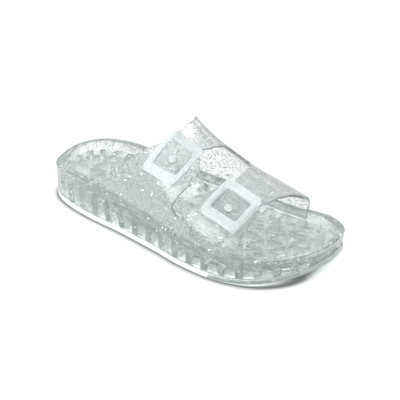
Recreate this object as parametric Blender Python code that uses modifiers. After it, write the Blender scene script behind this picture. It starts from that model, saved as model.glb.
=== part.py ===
"""A clear jelly slide for the right foot: a deep ribbed sole, a two-strap upper and two buckles.

+X runs from heel to toe, +Y to the inner side of the foot, +Z up. Sizes are in metres.
"""

import math

import bmesh
import bpy
import numpy as np
from mathutils import Matrix, Vector

# Sole
LENGTH = 0.256
WIDTH = 0.097
RIM_HEEL = 0.0291
RIM_WAIST = 0.0340
RIM_BALL = 0.0243
RIM_TOE = 0.0279
ARCH_RISE = 0.0053
TOE_SPRING = 0.0113
PLATE = 0.0036
RIM_WIDTH = 0.0065
RIM_STEP = 0.0050
RIM_ROUND = 0.0012
BED_INSETS = (0.0087, 0.0155, 0.0245)
WALL = 0.0035
DRAFT = 0.0012
SKIN = 0.0032

# Ribs and windows of the side wall, and the cells under the footbed
RIB_PITCH = 0.0150
RIB = 0.0040
RIB_FLANK = 0.0010
WINDOW_DEPTH = 0.0010
WINDOW_FOOT = 0.0012
RING_CELL = 0.0100
TRIANGLE = 0.0190
TRIANGLE_RIB = 0.0028
SHALLOWEST_CELL = 0.0025

# Tread
GROOVE = 0.0024
GROOVE_DEPTH = 0.0012
GROOVE_PITCH = 0.0160
TREAD_BORDER = 0.0090

# Upper
UPPER_WALL = 0.0024
SEAT_DEPTH = 0.0080
INSTEP = 0.0955
CREST_SIDE = 0.0092
ROUND_INNER = 2.56
ROUND_OUTER = 2.00
REAR_STRAP_WIDTH = 0.0205
FRONT_STRAP_WIDTH = 0.0238

# Buckles and studs
SIDE_BAR = 0.0040
CROSS_BAR = 0.0071
BUCKLE_LENGTH = 0.0352
BUCKLE_THICKNESS = 0.0034
BUCKLE_CORNER = 0.0045
WINDOW_CORNER = 0.0020
BUCKLE_SOFT = 0.0009
STUD_RADIUS = 0.0020
STUD_HEAD = 0.0033
STUD_DOME = 0.0016

GAP = 0.0003
EPS = 0.00001

# The sole's plan, heel round the outer side to the toe and back along the inner side.
# Each row is a share of LENGTH from the heel and a share of WIDTH towards the inner side.
PLAN = [
    # along, across
    (0.000, 0.000),
    (0.026, -0.187),
    (0.091, -0.288),
    (0.200, -0.358),
    (0.339, -0.403),
    (0.476, -0.463),
    (0.595, -0.527),
    (0.718, -0.544),
    (0.829, -0.479),
    (0.913, -0.337),
    (0.969, -0.155),
    (1.000, 0.063),
    (0.991, 0.293),
    (0.916, 0.440),
    (0.816, 0.443),
    (0.709, 0.436),
    (0.603, 0.413),
    (0.480, 0.335),
    (0.339, 0.324),
    (0.200, 0.386),
    (0.079, 0.361),
    (0.009, 0.218),
]

# Stations along the foot, as shares of LENGTH. window is the height of the side windows as a share
# of the wall, and dish is how far the footbed sinks in the middle, as a share of RIM_STEP.
STATIONS = [
    # along, window, dish
    (0.00, 0.66, 0.40),
    (0.12, 0.68, 0.80),
    (0.24, 0.58, 0.60),
    (0.42, 0.42, 0.20),
    (0.60, 0.40, 0.35),
    (0.74, 0.40, 0.45),
    (0.88, 0.36, 0.30),
    (1.00, 0.34, 0.15),
]

# The crest of the arch over the foot: a share of LENGTH and a share of INSTEP, its height at the
# rear strap. Behind that strap it only guides the slope of the outer quarter.
CREST = [
    # along, height
    (0.262, 1.484),
    (0.469, 1.000),
    (0.586, 0.748),
    (0.703, 0.603),
    (0.840, 0.468),
]

# Edges of the upper, as shares of LENGTH from the heel. turn runs over the foot from 0 at the inner
# rim to 1 at the outer rim. The opening between the straps lies between open_rear and open_front.
INNER_EDGES = [
    # turn, rear, open_rear, open_front, front
    (0.000, 0.452, 0.610, 0.632, 0.836),
    (0.120, 0.455, 0.608, 0.632, 0.840),
    (0.240, 0.461, 0.606, 0.634, 0.840),
    (0.335, 0.470, 0.601, 0.640, 0.835),
    (0.350, 0.472, 0.588, 0.653, 0.833),
    (0.375, 0.475, 0.580, 0.662, 0.828),
    (0.420, 0.481, 0.576, 0.669, 0.818),
    (0.470, 0.488, 0.571, 0.673, 0.810),
    (0.510, 0.486, 0.567, 0.676, 0.803),
]
OUTER_EDGES = [
    # turn, rear, open_rear, open_front, front
    (0.605, 0.482, 0.566, 0.662, 0.778),
    (0.635, 0.476, 0.578, 0.652, 0.783),
    (0.670, 0.468, 0.587, 0.644, 0.786),
    (0.700, 0.459, 0.586, 0.638, 0.787),
    (0.730, 0.447, 0.581, 0.633, 0.788),
    (0.764, 0.431, 0.573, 0.628, 0.788),
    (0.790, 0.418, 0.568, 0.624, 0.788),
    (0.817, 0.402, 0.563, 0.619, 0.787),
    (0.840, 0.388, 0.558, 0.614, 0.786),
    (0.862, 0.375, 0.554, 0.608, 0.786),
    (0.880, 0.363, 0.554, 0.602, 0.785),
    (0.893, 0.354, 0.561, 0.594, 0.784),
    (0.902, 0.347, 0.573, 0.583, 0.784),
    (0.925, 0.326, 0.573, 0.583, 0.783),
    (0.950, 0.304, 0.573, 0.583, 0.782),
    (0.975, 0.284, 0.573, 0.583, 0.781),
    (1.000, 0.263, 0.573, 0.583, 0.780),
]
OPENING_START = 0.335
OPENING_END = 0.902

# The straps from just above their buckles to their tips: how far down from the buckle's middle, as
# a share of BUCKLE_LENGTH, and both edges, as shares of half the strap's width in the buckle.
REAR_STRAP = [
    # down, rear, front
    (-0.60, 1.03, 1.30),
    (-0.52, 1.01, 1.14),
    (-0.45, 1.00, 1.00),
    (-0.28, 1.00, 1.00),
    (-0.10, 1.00, 1.00),
    (0.10, 1.00, 1.00),
    (0.28, 1.00, 1.00),
    (0.42, 0.96, 0.96),
    (0.47, 0.74, 0.74),
]
FRONT_STRAP = [
    # down, rear, front
    (-0.60, 1.02, 1.58),
    (-0.45, 1.00, 1.36),
    (-0.28, 1.00, 1.06),
    (-0.10, 1.00, 1.00),
    (0.10, 1.00, 1.00),
    (0.28, 1.00, 1.00),
    (0.45, 1.04, 1.00),
    (0.58, 1.16, 1.02),
    (0.71, 1.26, 0.98),
    (0.82, 1.22, 0.86),
    (0.88, 1.04, 0.70),
    (0.91, 0.76, 0.50),
]
STRAP_RISE = 0.45
STRAP_FULL = 0.56

# Columns of the upper's sheets across the rear band, the strip between the bands and the front band
REAR_COLUMNS = 4
MIDDLE_COLUMNS = 3
FRONT_COLUMNS = 5
REAR_EDGES = (1, 2, REAR_COLUMNS + 1)
FRONT_EDGES = (3, 4, FRONT_COLUMNS + 1)

# Where each buckle's middle lies: a share of LENGTH, a turn over the foot and a twist in degrees.
# stud is how far below the buckle's middle its stud stands, as a share of BUCKLE_LENGTH.
BUCKLES = {
    # name: along, turn, twist, stud
    "rear": (0.507, 0.705, 12.0, 0.04),
    "front": (0.715, 0.693, 7.0, 0.09),
}

# Colours and roughness of the two mouldings
CLEAR = (0.80, 0.85, 0.83)
FROSTED = (0.86, 0.89, 0.89)


def clear_scene():
    for item in list(bpy.data.objects):
        bpy.data.objects.remove(item, do_unlink=True)


def make_collection(name):
    group = bpy.data.collections.new(name)
    bpy.context.scene.collection.children.link(group)
    return group


def plastic(name, colour, roughness, see_through):
    material = bpy.data.materials.new(name)
    material.use_nodes = True
    shader = material.node_tree.nodes["Principled BSDF"]
    shader.inputs["Base Color"].default_value = (*colour, 1.0)
    shader.inputs["Roughness"].default_value = roughness
    shader.inputs["Metallic"].default_value = 0.0
    shader.inputs["Transmission Weight"].default_value = see_through
    return material


def column(table, index, at):
    """One column of a table, read at any value of its first column."""
    rows = np.array(table)
    return float(np.interp(at, rows[:, 0], rows[:, index]))


def closed_curve(points, steps):
    """A smooth closed curve through the points (Catmull-Rom)."""
    count = len(points)
    curve = []
    for i in range(count):
        a, b, c, d = (points[(i + k - 1) % count] for k in range(4))
        for step in range(steps):
            t = step / steps
            curve.append(
                0.5 * (2 * b + (c - a) * t + (2 * a - 5 * b + 4 * c - d) * t * t
                       + (3 * b - a - 3 * c + d) * t ** 3)
            )
    return np.array(curve)


class Plan:
    """The sole's outline: points at a distance round it, insets from it and its side edges."""

    def __init__(self):
        corners = np.array([(along * LENGTH, across * WIDTH) for along, across in PLAN])
        self.curve = closed_curve(corners, 24)
        low, high = self.curve.min(axis=0), self.curve.max(axis=0)
        self.curve[:, 0] = (self.curve[:, 0] - low[0]) * LENGTH / (high[0] - low[0])
        self.curve[:, 1] *= WIDTH / (high[1] - low[1])
        steps = np.linalg.norm(np.roll(self.curve, -1, axis=0) - self.curve, axis=1)
        self.reach = np.concatenate([[0.0], np.cumsum(steps)])
        self.round = self.reach[-1]
        toe = int(np.argmax(self.curve[:, 0]))
        self.outer = self.curve[: toe + 1]
        self.inner = np.vstack([self.curve[toe:], self.curve[:1]])[::-1]

    def at(self, distance, inset=0.0):
        """The point at a distance round the outline, moved inwards by inset."""
        distance = distance % self.round
        loop = np.vstack([self.curve, self.curve[:1]])
        point = np.array([np.interp(distance, self.reach, loop[:, k]) for k in (0, 1)])
        ahead = np.array([
            np.interp((distance + 0.002) % self.round, self.reach, loop[:, k]) for k in (0, 1)
        ])
        behind = np.array([
            np.interp((distance - 0.002) % self.round, self.reach, loop[:, k]) for k in (0, 1)
        ])
        tangent = (ahead - behind) / np.linalg.norm(ahead - behind)
        return point + inset * np.array([-tangent[1], tangent[0]])

    def side(self, x, inner):
        """How far the outline lies to one side at a place along the foot."""
        half = self.inner if inner else self.outer
        return float(np.interp(x, half[:, 0], half[:, 1]))

    def contains(self, x, y, inset):
        """Whether a point lies inside the outline, at least inset from it."""
        away = self.curve - np.array([x, y])
        if np.min(np.hypot(away[:, 0], away[:, 1])) < inset:
            return False
        after = np.roll(self.curve, -1, axis=0)
        crosses = (self.curve[:, 1] > y) != (after[:, 1] > y)
        rise = np.where(crosses, after[:, 1] - self.curve[:, 1], 1.0)
        meet = self.curve[:, 0] + (y - self.curve[:, 1]) * (after[:, 0] - self.curve[:, 0]) / rise
        return bool(np.sum(crosses & (meet > x)) % 2)


PLAN_LINE = Plan()
LAYER_GAP = GAP + 0.0001
STRAP_STEP = UPPER_WALL + LAYER_GAP
BUCKLE_FOOT = LAYER_GAP + 0.0002
BUCKLE_TOP = STRAP_STEP + LAYER_GAP + BUCKLE_THICKNESS


def through(shares, heights):
    """The one smooth polynomial through a few heights along the foot."""
    return np.polyfit(np.array(shares) * LENGTH, heights, len(shares) - 1)


RIM_CURVE = through((0.0, 0.35, 0.75, 1.0), (RIM_HEEL, RIM_WAIST, RIM_BALL, RIM_TOE))
CREST_CURVE = through([row[0] for row in CREST], [INSTEP * row[1] for row in CREST])


def spring(x):
    """How far the toe curls up from the floor, as straight facets from the ball forward."""
    shares = np.linspace(0.70, 1.0, 6)
    rise = ((shares - 0.70) / 0.30) ** 2
    return TOE_SPRING * float(np.interp(x / LENGTH, shares, rise))


def rim_height(x, y):
    inner = min(max(y / (0.31 * WIDTH), 0.0), 1.0)
    bump = ARCH_RISE * math.exp(-(((x / LENGTH - 0.42) / 0.18) ** 2)) * inner
    return float(np.polyval(RIM_CURVE, x)) + bump


def sole_bottom(x):
    return spring(x) + PLATE + GAP


def footbed(x, y):
    """The surface under the foot: a step below the rim and dished across."""
    x_in = min(max(x, 0.02 * LENGTH), 0.98 * LENGTH)
    inner, outer = PLAN_LINE.side(x_in, True), PLAN_LINE.side(x_in, False)
    across = (2 * y - inner - outer) / (inner - outer)
    dish = RIM_STEP * column(STATIONS, 2, x / LENGTH) * max(0.0, 1 - across * across)
    return rim_height(x, y) - RIM_STEP - dish


def window_top(x, y):
    low = sole_bottom(x)
    return low + column(STATIONS, 1, x / LENGTH) * (rim_height(x, y) - low)


def wall_point(distance, inset, height, share=None):
    """A point of the side wall; its draft leans it in towards the bottom."""
    x, y = PLAN_LINE.at(distance)
    top, low = rim_height(x, y), sole_bottom(x)
    z = height(x, y) if share is None else low + share * (top - low)
    lean = DRAFT * (top - z) / (top - low)
    px, py = PLAN_LINE.at(distance, inset + lean)
    return Vector((px, py, z))


def rib_stations():
    """Four places for each rib and window: both edges of the rib, then both of the window."""
    count = round(PLAN_LINE.round / RIB_PITCH)
    pitch = PLAN_LINE.round / count
    half = RIB / 2
    stations = []
    for i in range(count):
        middle = i * pitch
        stations += [
            (middle - half, 0.0),
            (middle + half, 0.0),
            (middle + half + RIB_FLANK, WINDOW_DEPTH),
            (middle + pitch - half - RIB_FLANK, WINDOW_DEPTH),
        ]
    return stations


def add_ring(mesh, points):
    return [mesh.verts.new(point) for point in points]


def bridge(mesh, ring, other):
    """Faces between two closed rings; the second may have half as many points."""
    step = len(ring) // len(other)
    count = len(ring)
    for j in range(len(other)):
        here = [ring[(j * step + k) % count] for k in range(step + 1)]
        mesh.faces.new(here + [other[(j + 1) % len(other)], other[j]])


def ladder(mesh, ring):
    """Close a ring with rungs from one side of the foot to the other."""
    count = len(ring)
    for i in range(count // 2):
        corners = [ring[i], ring[i + 1], ring[(count - i - 1) % count], ring[(count - i) % count]]
        loop = []
        for corner in corners:
            if corner not in loop:
                loop.append(corner)
        mesh.faces.new(loop)


def finish(mesh, name, group, material=None):
    """Turn a bmesh into an object with its faces out and its round faces smooth."""
    bmesh.ops.recalc_face_normals(mesh, faces=mesh.faces)
    data = bpy.data.meshes.new(name)
    mesh.to_mesh(data)
    mesh.free()
    data.shade_smooth()
    data.set_sharp_from_angle(angle=math.radians(35))
    item = bpy.data.objects.new(name, data)
    group.objects.link(item)
    if material:
        data.materials.append(material)
    else:
        item.hide_render = True
        item.display_type = "WIRE"
    return item


def cut(item, cutter, operation="DIFFERENCE"):
    """Apply a boolean to an object's mesh for good."""
    modifier = item.modifiers.new("cut", "BOOLEAN")
    modifier.operation = operation
    modifier.solver = "EXACT"
    modifier.object = cutter
    bake(item)


def bake(item):
    """Replace an object's mesh with what its modifiers make of it."""
    bpy.context.view_layer.update()
    shape = item.evaluated_get(bpy.context.evaluated_depsgraph_get())
    data = bpy.data.meshes.new_from_object(shape)
    item.modifiers.clear()
    item.data = data


def sole_shell(group, material):
    """The sole without its cells: rim, wall with windows, footbed and a plain underside."""
    mesh = bmesh.new()
    stations = rib_stations()
    half = stations[::2]

    def wall_ring(places, deepen, height, share=None):
        return add_ring(mesh, [
            wall_point(at, deep if deepen else 0.0, height, share) for at, deep in places
        ])

    def rim_ring(inset, drop):
        points = []
        for at, _ in half:
            x, y = PLAN_LINE.at(at, inset)
            points.append(Vector((x, y, rim_height(*PLAN_LINE.at(at)) - drop)))
        return add_ring(mesh, points)

    def window_low(x, y):
        return sole_bottom(x) + WINDOW_FOOT

    bottom = wall_ring(half, False, None, 0.0)
    sill = wall_ring(stations, False, window_low)
    sill_in = wall_ring(stations, True, lambda x, y: window_low(x, y) + RIB_FLANK)
    head_in = wall_ring(stations, True, lambda x, y: window_top(x, y) - RIB_FLANK)
    head = wall_ring(stations, False, window_top)
    shoulder = wall_ring(half, False, lambda x, y: rim_height(x, y) - RIM_ROUND)
    edge = rim_ring(RIM_ROUND, 0.0)
    lip = rim_ring(RIM_WIDTH, 0.0)

    def bed_ring(inset):
        points = []
        for at, _ in half:
            x, y = PLAN_LINE.at(at, inset)
            points.append(Vector((x, y, footbed(x, y))))
        return add_ring(mesh, points)

    beds = [bed_ring(inset) for inset in BED_INSETS]
    bridge(mesh, sill, bottom)
    bridge(mesh, sill, sill_in)
    bridge(mesh, sill_in, head_in)
    bridge(mesh, head_in, head)
    bridge(mesh, head, shoulder)
    for ring, other in zip([shoulder, edge, lip] + beds, [edge, lip] + beds):
        bridge(mesh, ring, other)
    ladder(mesh, beds[-1])
    ladder(mesh, bottom)
    bmesh.ops.dissolve_limit(
        mesh, angle_limit=0.0005, verts=[v for v in mesh.verts if v.is_valid],
        edges=[e for e in mesh.edges if all(v in set(bottom) for v in e.verts)],
    )
    return finish(mesh, "sole_unit", group, material)


def prism(mesh, corners, low, high):
    """A closed prism whose foot and head follow two height functions."""
    foot = [mesh.verts.new((x, y, low(x, y))) for x, y in corners]
    head = [mesh.verts.new((x, y, high(x, y))) for x, y in corners]
    mesh.faces.new(foot)
    mesh.faces.new(head)
    for i in range(len(corners)):
        j = (i + 1) % len(corners)
        mesh.faces.new((foot[i], foot[j], head[j], head[i]))


def below_sole(x, y):
    return sole_bottom(x) - PLATE / 2


def cell_roof(x, y):
    return footbed(x, y) - SKIN


def ring_cells(mesh):
    """A cell behind each window of the side wall."""
    stations = rib_stations()
    for i in range(0, len(stations), 4):
        start, end = stations[i + 2][0], stations[i + 3][0]
        places = [(start, WALL), (end, WALL), (end, WALL + RING_CELL), (start, WALL + RING_CELL)]
        corners = [tuple(PLAN_LINE.at(at, inset)) for at, inset in places]
        x, y = PLAN_LINE.at((start + end) / 2)
        roof = min(window_top(x, y), min(cell_roof(cx, cy) for cx, cy in corners))
        if roof - sole_bottom(x) > SHALLOWEST_CELL:
            prism(mesh, corners, below_sole, lambda cx, cy: roof)


def triangle_cells(mesh):
    """A lattice of triangles inside the ring; corners past its edge slide in to it."""
    edge = WALL + RING_CELL + TRIANGLE_RIB
    row_height = TRIANGLE * math.sqrt(3) / 2
    inside = 1 - TRIANGLE_RIB / 2 / (TRIANGLE / (2 * math.sqrt(3)))
    rows = math.ceil(WIDTH / row_height / 2)
    columns = math.ceil(LENGTH / TRIANGLE) + 1
    for row in range(-rows, rows):
        for place in range(2 * columns):
            up = (place + row) % 2 == 0
            left = (place - 1) * TRIANGLE / 2
            low, high = row * row_height, (row + 1) * row_height
            base, tip = (low, high) if up else (high, low)
            corners = np.array([(left, base), (left + TRIANGLE, base), (left + TRIANGLE / 2, tip)])
            centre = corners.mean(axis=0)
            if not PLAN_LINE.contains(*centre, edge):
                continue
            slid = []
            for corner in corners:
                reach = inside
                while not PLAN_LINE.contains(*(centre + reach * (corner - centre)), edge):
                    reach -= 0.04
                slid.append(tuple(centre + reach * (corner - centre)))
            (ax, ay), (bx, by), (cx, cy) = slid
            area = abs((bx - ax) * (cy - ay) - (cx - ax) * (by - ay)) / 2
            depth = min(cell_roof(x, y) - sole_bottom(x) for x, y in slid)
            if area > 0.1 * TRIANGLE ** 2 and depth > SHALLOWEST_CELL:
                prism(mesh, slid, below_sole, cell_roof)


def make_sole(group, cutters, material):
    sole = sole_shell(group, material)
    mesh = bmesh.new()
    ring_cells(mesh)
    triangle_cells(mesh)
    cells = finish(mesh, "cells", cutters)
    cut(sole, cells)
    for inner in (True, False):
        cut(sole, seat_cutter(cutters, inner))
    return sole


def make_outsole(group, cutters, material):
    """The clear plate under the cells, with straight tread grooves across it."""
    mesh = bmesh.new()
    places = [at for at, _ in rib_stations()[::2]]

    def plate_ring(height):
        points = []
        for at in places:
            x, _ = PLAN_LINE.at(at)
            px, py = PLAN_LINE.at(at, DRAFT / 2)
            points.append(Vector((px, py, spring(x) + height)))
        return add_ring(mesh, points)

    low, high = plate_ring(0.0), plate_ring(PLATE)
    bridge(mesh, low, high)
    ladder(mesh, low)
    ladder(mesh, high)
    bmesh.ops.dissolve_limit(mesh, angle_limit=0.0005, verts=mesh.verts, edges=mesh.edges)
    plate = finish(mesh, "outsole", group, material)
    mesh = bmesh.new()
    x = GROOVE_PITCH
    while x < LENGTH - GROOVE_PITCH / 2:
        inner = PLAN_LINE.side(x, True) - TREAD_BORDER
        outer = PLAN_LINE.side(x, False) + TREAD_BORDER
        corners = [(x - GROOVE / 2, outer), (x + GROOVE / 2, outer),
                   (x + GROOVE / 2, inner), (x - GROOVE / 2, inner)]
        prism(mesh, corners, lambda px, py: spring(px) - GROOVE_DEPTH,
              lambda px, py: spring(px) + GROOVE_DEPTH)
        x += GROOVE_PITCH
    cut(plate, finish(mesh, "grooves", cutters))
    return plate


def arch(x, turn):
    """The upper's outer surface: an arch over the foot from rim to rim, rounder outside.

    Past either rim it runs straight on down, so that a long strap still finds its place.
    """
    angle = math.pi * min(max(turn, 0.0), 1.0)
    inner = angle < math.pi / 2
    edge = PLAN_LINE.side(x, inner)
    base = rim_height(x, edge)
    power = 2 / (ROUND_INNER if inner else ROUND_OUTER)
    y = CREST_SIDE + (edge - CREST_SIDE) * abs(math.cos(angle)) ** power
    crest = float(np.polyval(CREST_CURVE, x))
    past = max(-turn, turn - 1.0, 0.0)
    z = base + (crest - base) * (math.sin(angle) ** power - math.pi * past)
    return np.array([x, y, z])


def outward(x, turn):
    """The arch's unit normal."""
    small = 0.004
    low, high = max(turn - small, 0.0), min(turn + small, 1.0)
    over = arch(x, high) - arch(x, low)
    along = arch(x + 0.001, turn) - arch(x - 0.001, turn)
    normal = np.cross(over, along)
    return normal / np.linalg.norm(normal)


def on_arch(x, turn, lift=0.0):
    return Vector(arch(x, turn) + lift * outward(x, turn))


def seat_point(x, inner, drop, inset=0.0):
    """A point of the upper's margin, which runs straight down outside the sole's rebate."""
    edge = PLAN_LINE.side(x, inner)
    step = 0.002
    slope = (PLAN_LINE.side(x + step, inner) - PLAN_LINE.side(x - step, inner)) / (2 * step)
    inward = np.array([slope, -1.0]) if inner else np.array([-slope, 1.0])
    inward /= np.linalg.norm(inward)
    top = rim_height(x, edge)
    lean = DRAFT * max(drop, 0.0) / (top - sole_bottom(x))
    px, py = np.array([x, edge]) + inward * (inset + lean)
    return Vector((px, py, top - drop))


def seat_cutter(group, inner):
    """The rebate in the rim that the upper's margin stands in."""
    table = INNER_EDGES if inner else OUTER_EDGES
    row = table[0] if inner else table[-1]
    places = spread(*row[1:])
    places[0] -= GAP
    places[-1] += GAP
    mesh = bmesh.new()
    deep, high = SEAT_DEPTH + GAP, -RIM_STEP
    sections = []
    for x in places:
        sections.append(add_ring(mesh, [
            seat_point(x, inner, deep, -UPPER_WALL),
            seat_point(x, inner, deep, UPPER_WALL + GAP),
            seat_point(x, inner, high, UPPER_WALL + GAP),
            seat_point(x, inner, high, -UPPER_WALL),
        ]))
    for one, two in zip(sections, sections[1:]):
        bridge(mesh, one, two)
    mesh.faces.new(sections[0])
    mesh.faces.new(sections[-1])
    return finish(mesh, "seat_inner" if inner else "seat_outer", group)


def spread(rear, open_rear, open_front, front):
    """Places across one row of the upper: rear band, the strip between, front band."""
    places = list(np.linspace(rear, open_rear, REAR_COLUMNS + 1))
    places += list(np.linspace(open_rear, open_front, MIDDLE_COLUMNS + 1))[1:-1]
    places += list(np.linspace(open_front, front, FRONT_COLUMNS + 1))
    return [LENGTH * place for place in places]


def add_row(mesh, places, turn, lift=0.0):
    return [mesh.verts.new(on_arch(x, turn, lift)) for x in places]


def margin_row(mesh, places, inner):
    return [mesh.verts.new(seat_point(x, inner, SEAT_DEPTH)) for x in places]


def weave_rows(mesh, rows, keep):
    """Quads between neighbouring rows; keep says which columns are there."""
    for one, two in zip(rows, rows[1:]):
        for k in range(len(one) - 1):
            if keep(k):
                mesh.faces.new((one[k], one[k + 1], two[k + 1], two[k]))


def band(k):
    """Whether a column belongs to a strap rather than to the opening between them."""
    return k < REAR_COLUMNS or k >= REAR_COLUMNS + MIDDLE_COLUMNS


def thicken(item):
    """Give the open surface the upper's real wall, inwards from its outer face."""
    solid = item.modifiers.new("wall", "SOLIDIFY")
    solid.thickness = UPPER_WALL
    solid.offset = -1
    solid.use_even_offset = True
    bake(item)


def make_sheet(mesh, name, group, material):
    """Turn an open sheet so that its faces look away from the foot, then thicken it."""
    bmesh.ops.delete(mesh, geom=[v for v in mesh.verts if not v.link_faces], context="VERTS")
    bmesh.ops.recalc_face_normals(mesh, faces=mesh.faces)
    mesh.faces.ensure_lookup_table()
    leaning = sum(
        face.normal.dot(face.calc_center_median() - Vector((face.calc_center_median().x, 0, 0.02)))
        for face in mesh.faces
    )
    if leaning < 0:
        bmesh.ops.reverse_faces(mesh, faces=mesh.faces)
    data = bpy.data.meshes.new(name)
    mesh.to_mesh(data)
    mesh.free()
    item = bpy.data.objects.new(name, data)
    group.objects.link(item)
    thicken(item)
    data = item.data
    data.shade_smooth()
    data.set_sharp_from_angle(angle=math.radians(35))
    data.materials.append(material)
    return item


def make_inner(patches, group, material):
    """The inner panel and the two straps that leave it, down through their buckles."""
    mesh = bmesh.new()
    rows, turns = [], []
    first = spread(*INNER_EDGES[0][1:])
    rows.append(margin_row(mesh, first, True))
    for row in INNER_EDGES:
        rows.append(add_row(mesh, spread(*row[1:]), row[0], strap_lift(row[0])))
        turns.append(row[0])
    solid = turns.index(OPENING_START) + 2
    weave_rows(mesh, rows[:solid], lambda k: True)
    weave_rows(mesh, rows[solid - 1:], band)
    last = rows[-1]
    cuts = (last[:REAR_COLUMNS + 1], last[REAR_COLUMNS + MIDDLE_COLUMNS:])
    for start, patch in zip(cuts, patches.values()):
        run = [add_ring(mesh, row) for row in strap_run(patch, patch.strap, len(start))]
        weave_rows(mesh, [start] + run, lambda k: True)
    return make_sheet(mesh, "upper_medial", group, material)


def strap_lift(turn):
    """A strap rises from the arch onto its root as it nears the buckle."""
    share = min(max((turn - STRAP_RISE) / (STRAP_FULL - STRAP_RISE), 0.0), 1.0)
    return STRAP_STEP * share * share * (3 - 2 * share)


def strap_run(patch, table, count, widen=0.0, lift=STRAP_STEP):
    """The rows of a strap through its buckle, laid in the buckle's own patch."""
    run = []
    half = patch.strap_width / 2
    for down, rear, front in table:
        across = np.linspace(-half * rear - widen, half * front + widen, count)
        run.append([patch.point(a, down * BUCKLE_LENGTH, lift) for a in across])
    return run


def make_outer(group, material):
    """The outer quarter and the two roots that lie under the straps."""
    mesh = bmesh.new()
    rows = [add_row(mesh, spread(*row[1:]), row[0]) for row in OUTER_EDGES]
    last = spread(*OUTER_EDGES[-1][1:])
    rows.append(margin_row(mesh, last, False))
    split = [row[0] for row in OUTER_EDGES].index(OPENING_END)
    weave_rows(mesh, rows[:split + 1], band)
    weave_rows(mesh, rows[split:], lambda k: True)
    return make_sheet(mesh, "upper_lateral", group, material)


class Patch:
    """A flat patch laid straight down on the arch: a runs along the foot, b down the outer side."""

    def __init__(self, along, turn, twist, stud, strap, strap_width):
        self.stud = stud * BUCKLE_LENGTH
        self.strap = strap
        self.strap_width = strap_width
        self.place = np.array([along * LENGTH, turn])
        self.centre = arch(*self.place)
        self.normal = outward(*self.place)
        down = arch(self.place[0], turn + 0.01) - self.centre
        self.b = down - (down @ self.normal) * self.normal
        self.b /= np.linalg.norm(self.b)
        self.a = np.cross(self.b, self.normal)
        self.a *= math.copysign(1.0, self.a[0])
        swing = math.radians(twist)
        self.a, self.b = (
            self.a * math.cos(swing) + self.b * math.sin(swing),
            self.b * math.cos(swing) - self.a * math.sin(swing),
        )

    def flat(self, place):
        away = arch(*place) - self.centre
        return np.array([away @ self.a, away @ self.b])

    def under(self, a, b):
        """Where on the arch (a, b) lies, found in a few Newton steps."""
        place = self.place.copy()
        for _ in range(8):
            now = self.flat(place)
            by_x = (self.flat(place + [0.001, 0]) - now) / 0.001
            by_turn = (self.flat(place + [0, 0.002]) - now) / 0.002
            place += np.linalg.solve(np.array([by_x, by_turn]).T, np.array([a, b]) - now)
        return place

    def point(self, a, b, lift):
        return on_arch(*self.under(a, b), lift)


def rounded_loop(half_a, half_b, corner, side_steps=(3, 5), corner_steps=3):
    """A rectangle with round corners, with points along its sides so that it can bend."""
    loop = []
    quarter = [(1, 1, 0), (-1, 1, 90), (-1, -1, 180), (1, -1, 270)]
    for n, (sa, sb, turn) in enumerate(quarter):
        ca, cb = sa * (half_a - corner), sb * (half_b - corner)
        for k in range(corner_steps + 1):
            angle = math.radians(turn + 90 * k / corner_steps)
            loop.append((ca + corner * math.cos(angle), cb + corner * math.sin(angle)))
        steps = side_steps[n % 2]
        ta, tb, _ = quarter[(n + 1) % 4]
        da, db = ta * (half_a - corner), tb * (half_b - corner)
        angle = math.radians(turn + 90)
        start = loop[-1]
        end = (da + corner * math.cos(angle), db + corner * math.sin(angle))
        for k in range(1, steps):
            share = k / steps
            loop.append(tuple(s + (e - s) * share for s, e in zip(start, end)))
    return loop


def make_buckle(name, patch, group, material):
    """A frame bent to the arch, with a channel for the strap under its cross bars."""
    window = patch.strap_width / 2 + GAP
    half_a = window + SIDE_BAR
    half_b = BUCKLE_LENGTH / 2
    soft = BUCKLE_SOFT
    profile = [
        # half along, half across, corner, lift
        (half_a, half_b, BUCKLE_CORNER, BUCKLE_FOOT),
        (half_a, half_b, BUCKLE_CORNER, BUCKLE_TOP - soft),
        (half_a - soft, half_b - soft, BUCKLE_CORNER - soft, BUCKLE_TOP),
        (window + soft, half_b - CROSS_BAR + soft, WINDOW_CORNER + soft, BUCKLE_TOP),
        (window, half_b - CROSS_BAR, WINDOW_CORNER, BUCKLE_TOP - soft),
        (window, half_b - CROSS_BAR, WINDOW_CORNER, BUCKLE_FOOT),
    ]
    mesh = bmesh.new()
    rings = []
    for a, b, corner, lift in profile:
        rings.append(add_ring(mesh, [
            patch.point(u, v, lift) for u, v in rounded_loop(a, b, corner)
        ]))
    for one, two in zip(rings, rings[1:] + rings[:1]):
        bridge(mesh, one, two)
    return finish(mesh, name, group, material)


def strap_channel(name, patch, edges, cutters):
    """The strap's own run to and through its buckle, widened and thickened by the clearance."""
    start, end, count = edges
    table = [(down, max(rear, 1.0), max(front, 1.0)) for down, rear, front in patch.strap
             if down < 0.65] + [(0.70, 1.10, 1.10)]
    low, high = [], []
    mesh = bmesh.new()
    for row in INNER_EDGES[-2:]:
        places = np.linspace(row[start] * LENGTH - GAP, row[end] * LENGTH + GAP, count)
        low.append(add_row(mesh, places, row[0], -UPPER_WALL))
        high.append(add_row(mesh, places, row[0], strap_lift(row[0]) + LAYER_GAP))
    low += [add_ring(mesh, row) for row in strap_run(patch, table, count, GAP, -UPPER_WALL)]
    top = STRAP_STEP + LAYER_GAP
    high += [add_ring(mesh, row) for row in strap_run(patch, table, count, GAP, top)]
    for rows in (low, high):
        weave_rows(mesh, rows, lambda k: True)
    for side in (0, -1):
        for k in range(len(low) - 1):
            mesh.faces.new((low[k][side], low[k + 1][side], high[k + 1][side], high[k][side]))
    for end in (0, -1):
        for k in range(count - 1):
            mesh.faces.new((low[end][k], low[end][k + 1], high[end][k + 1], high[end][k]))
    return finish(mesh, name, cutters)


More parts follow.
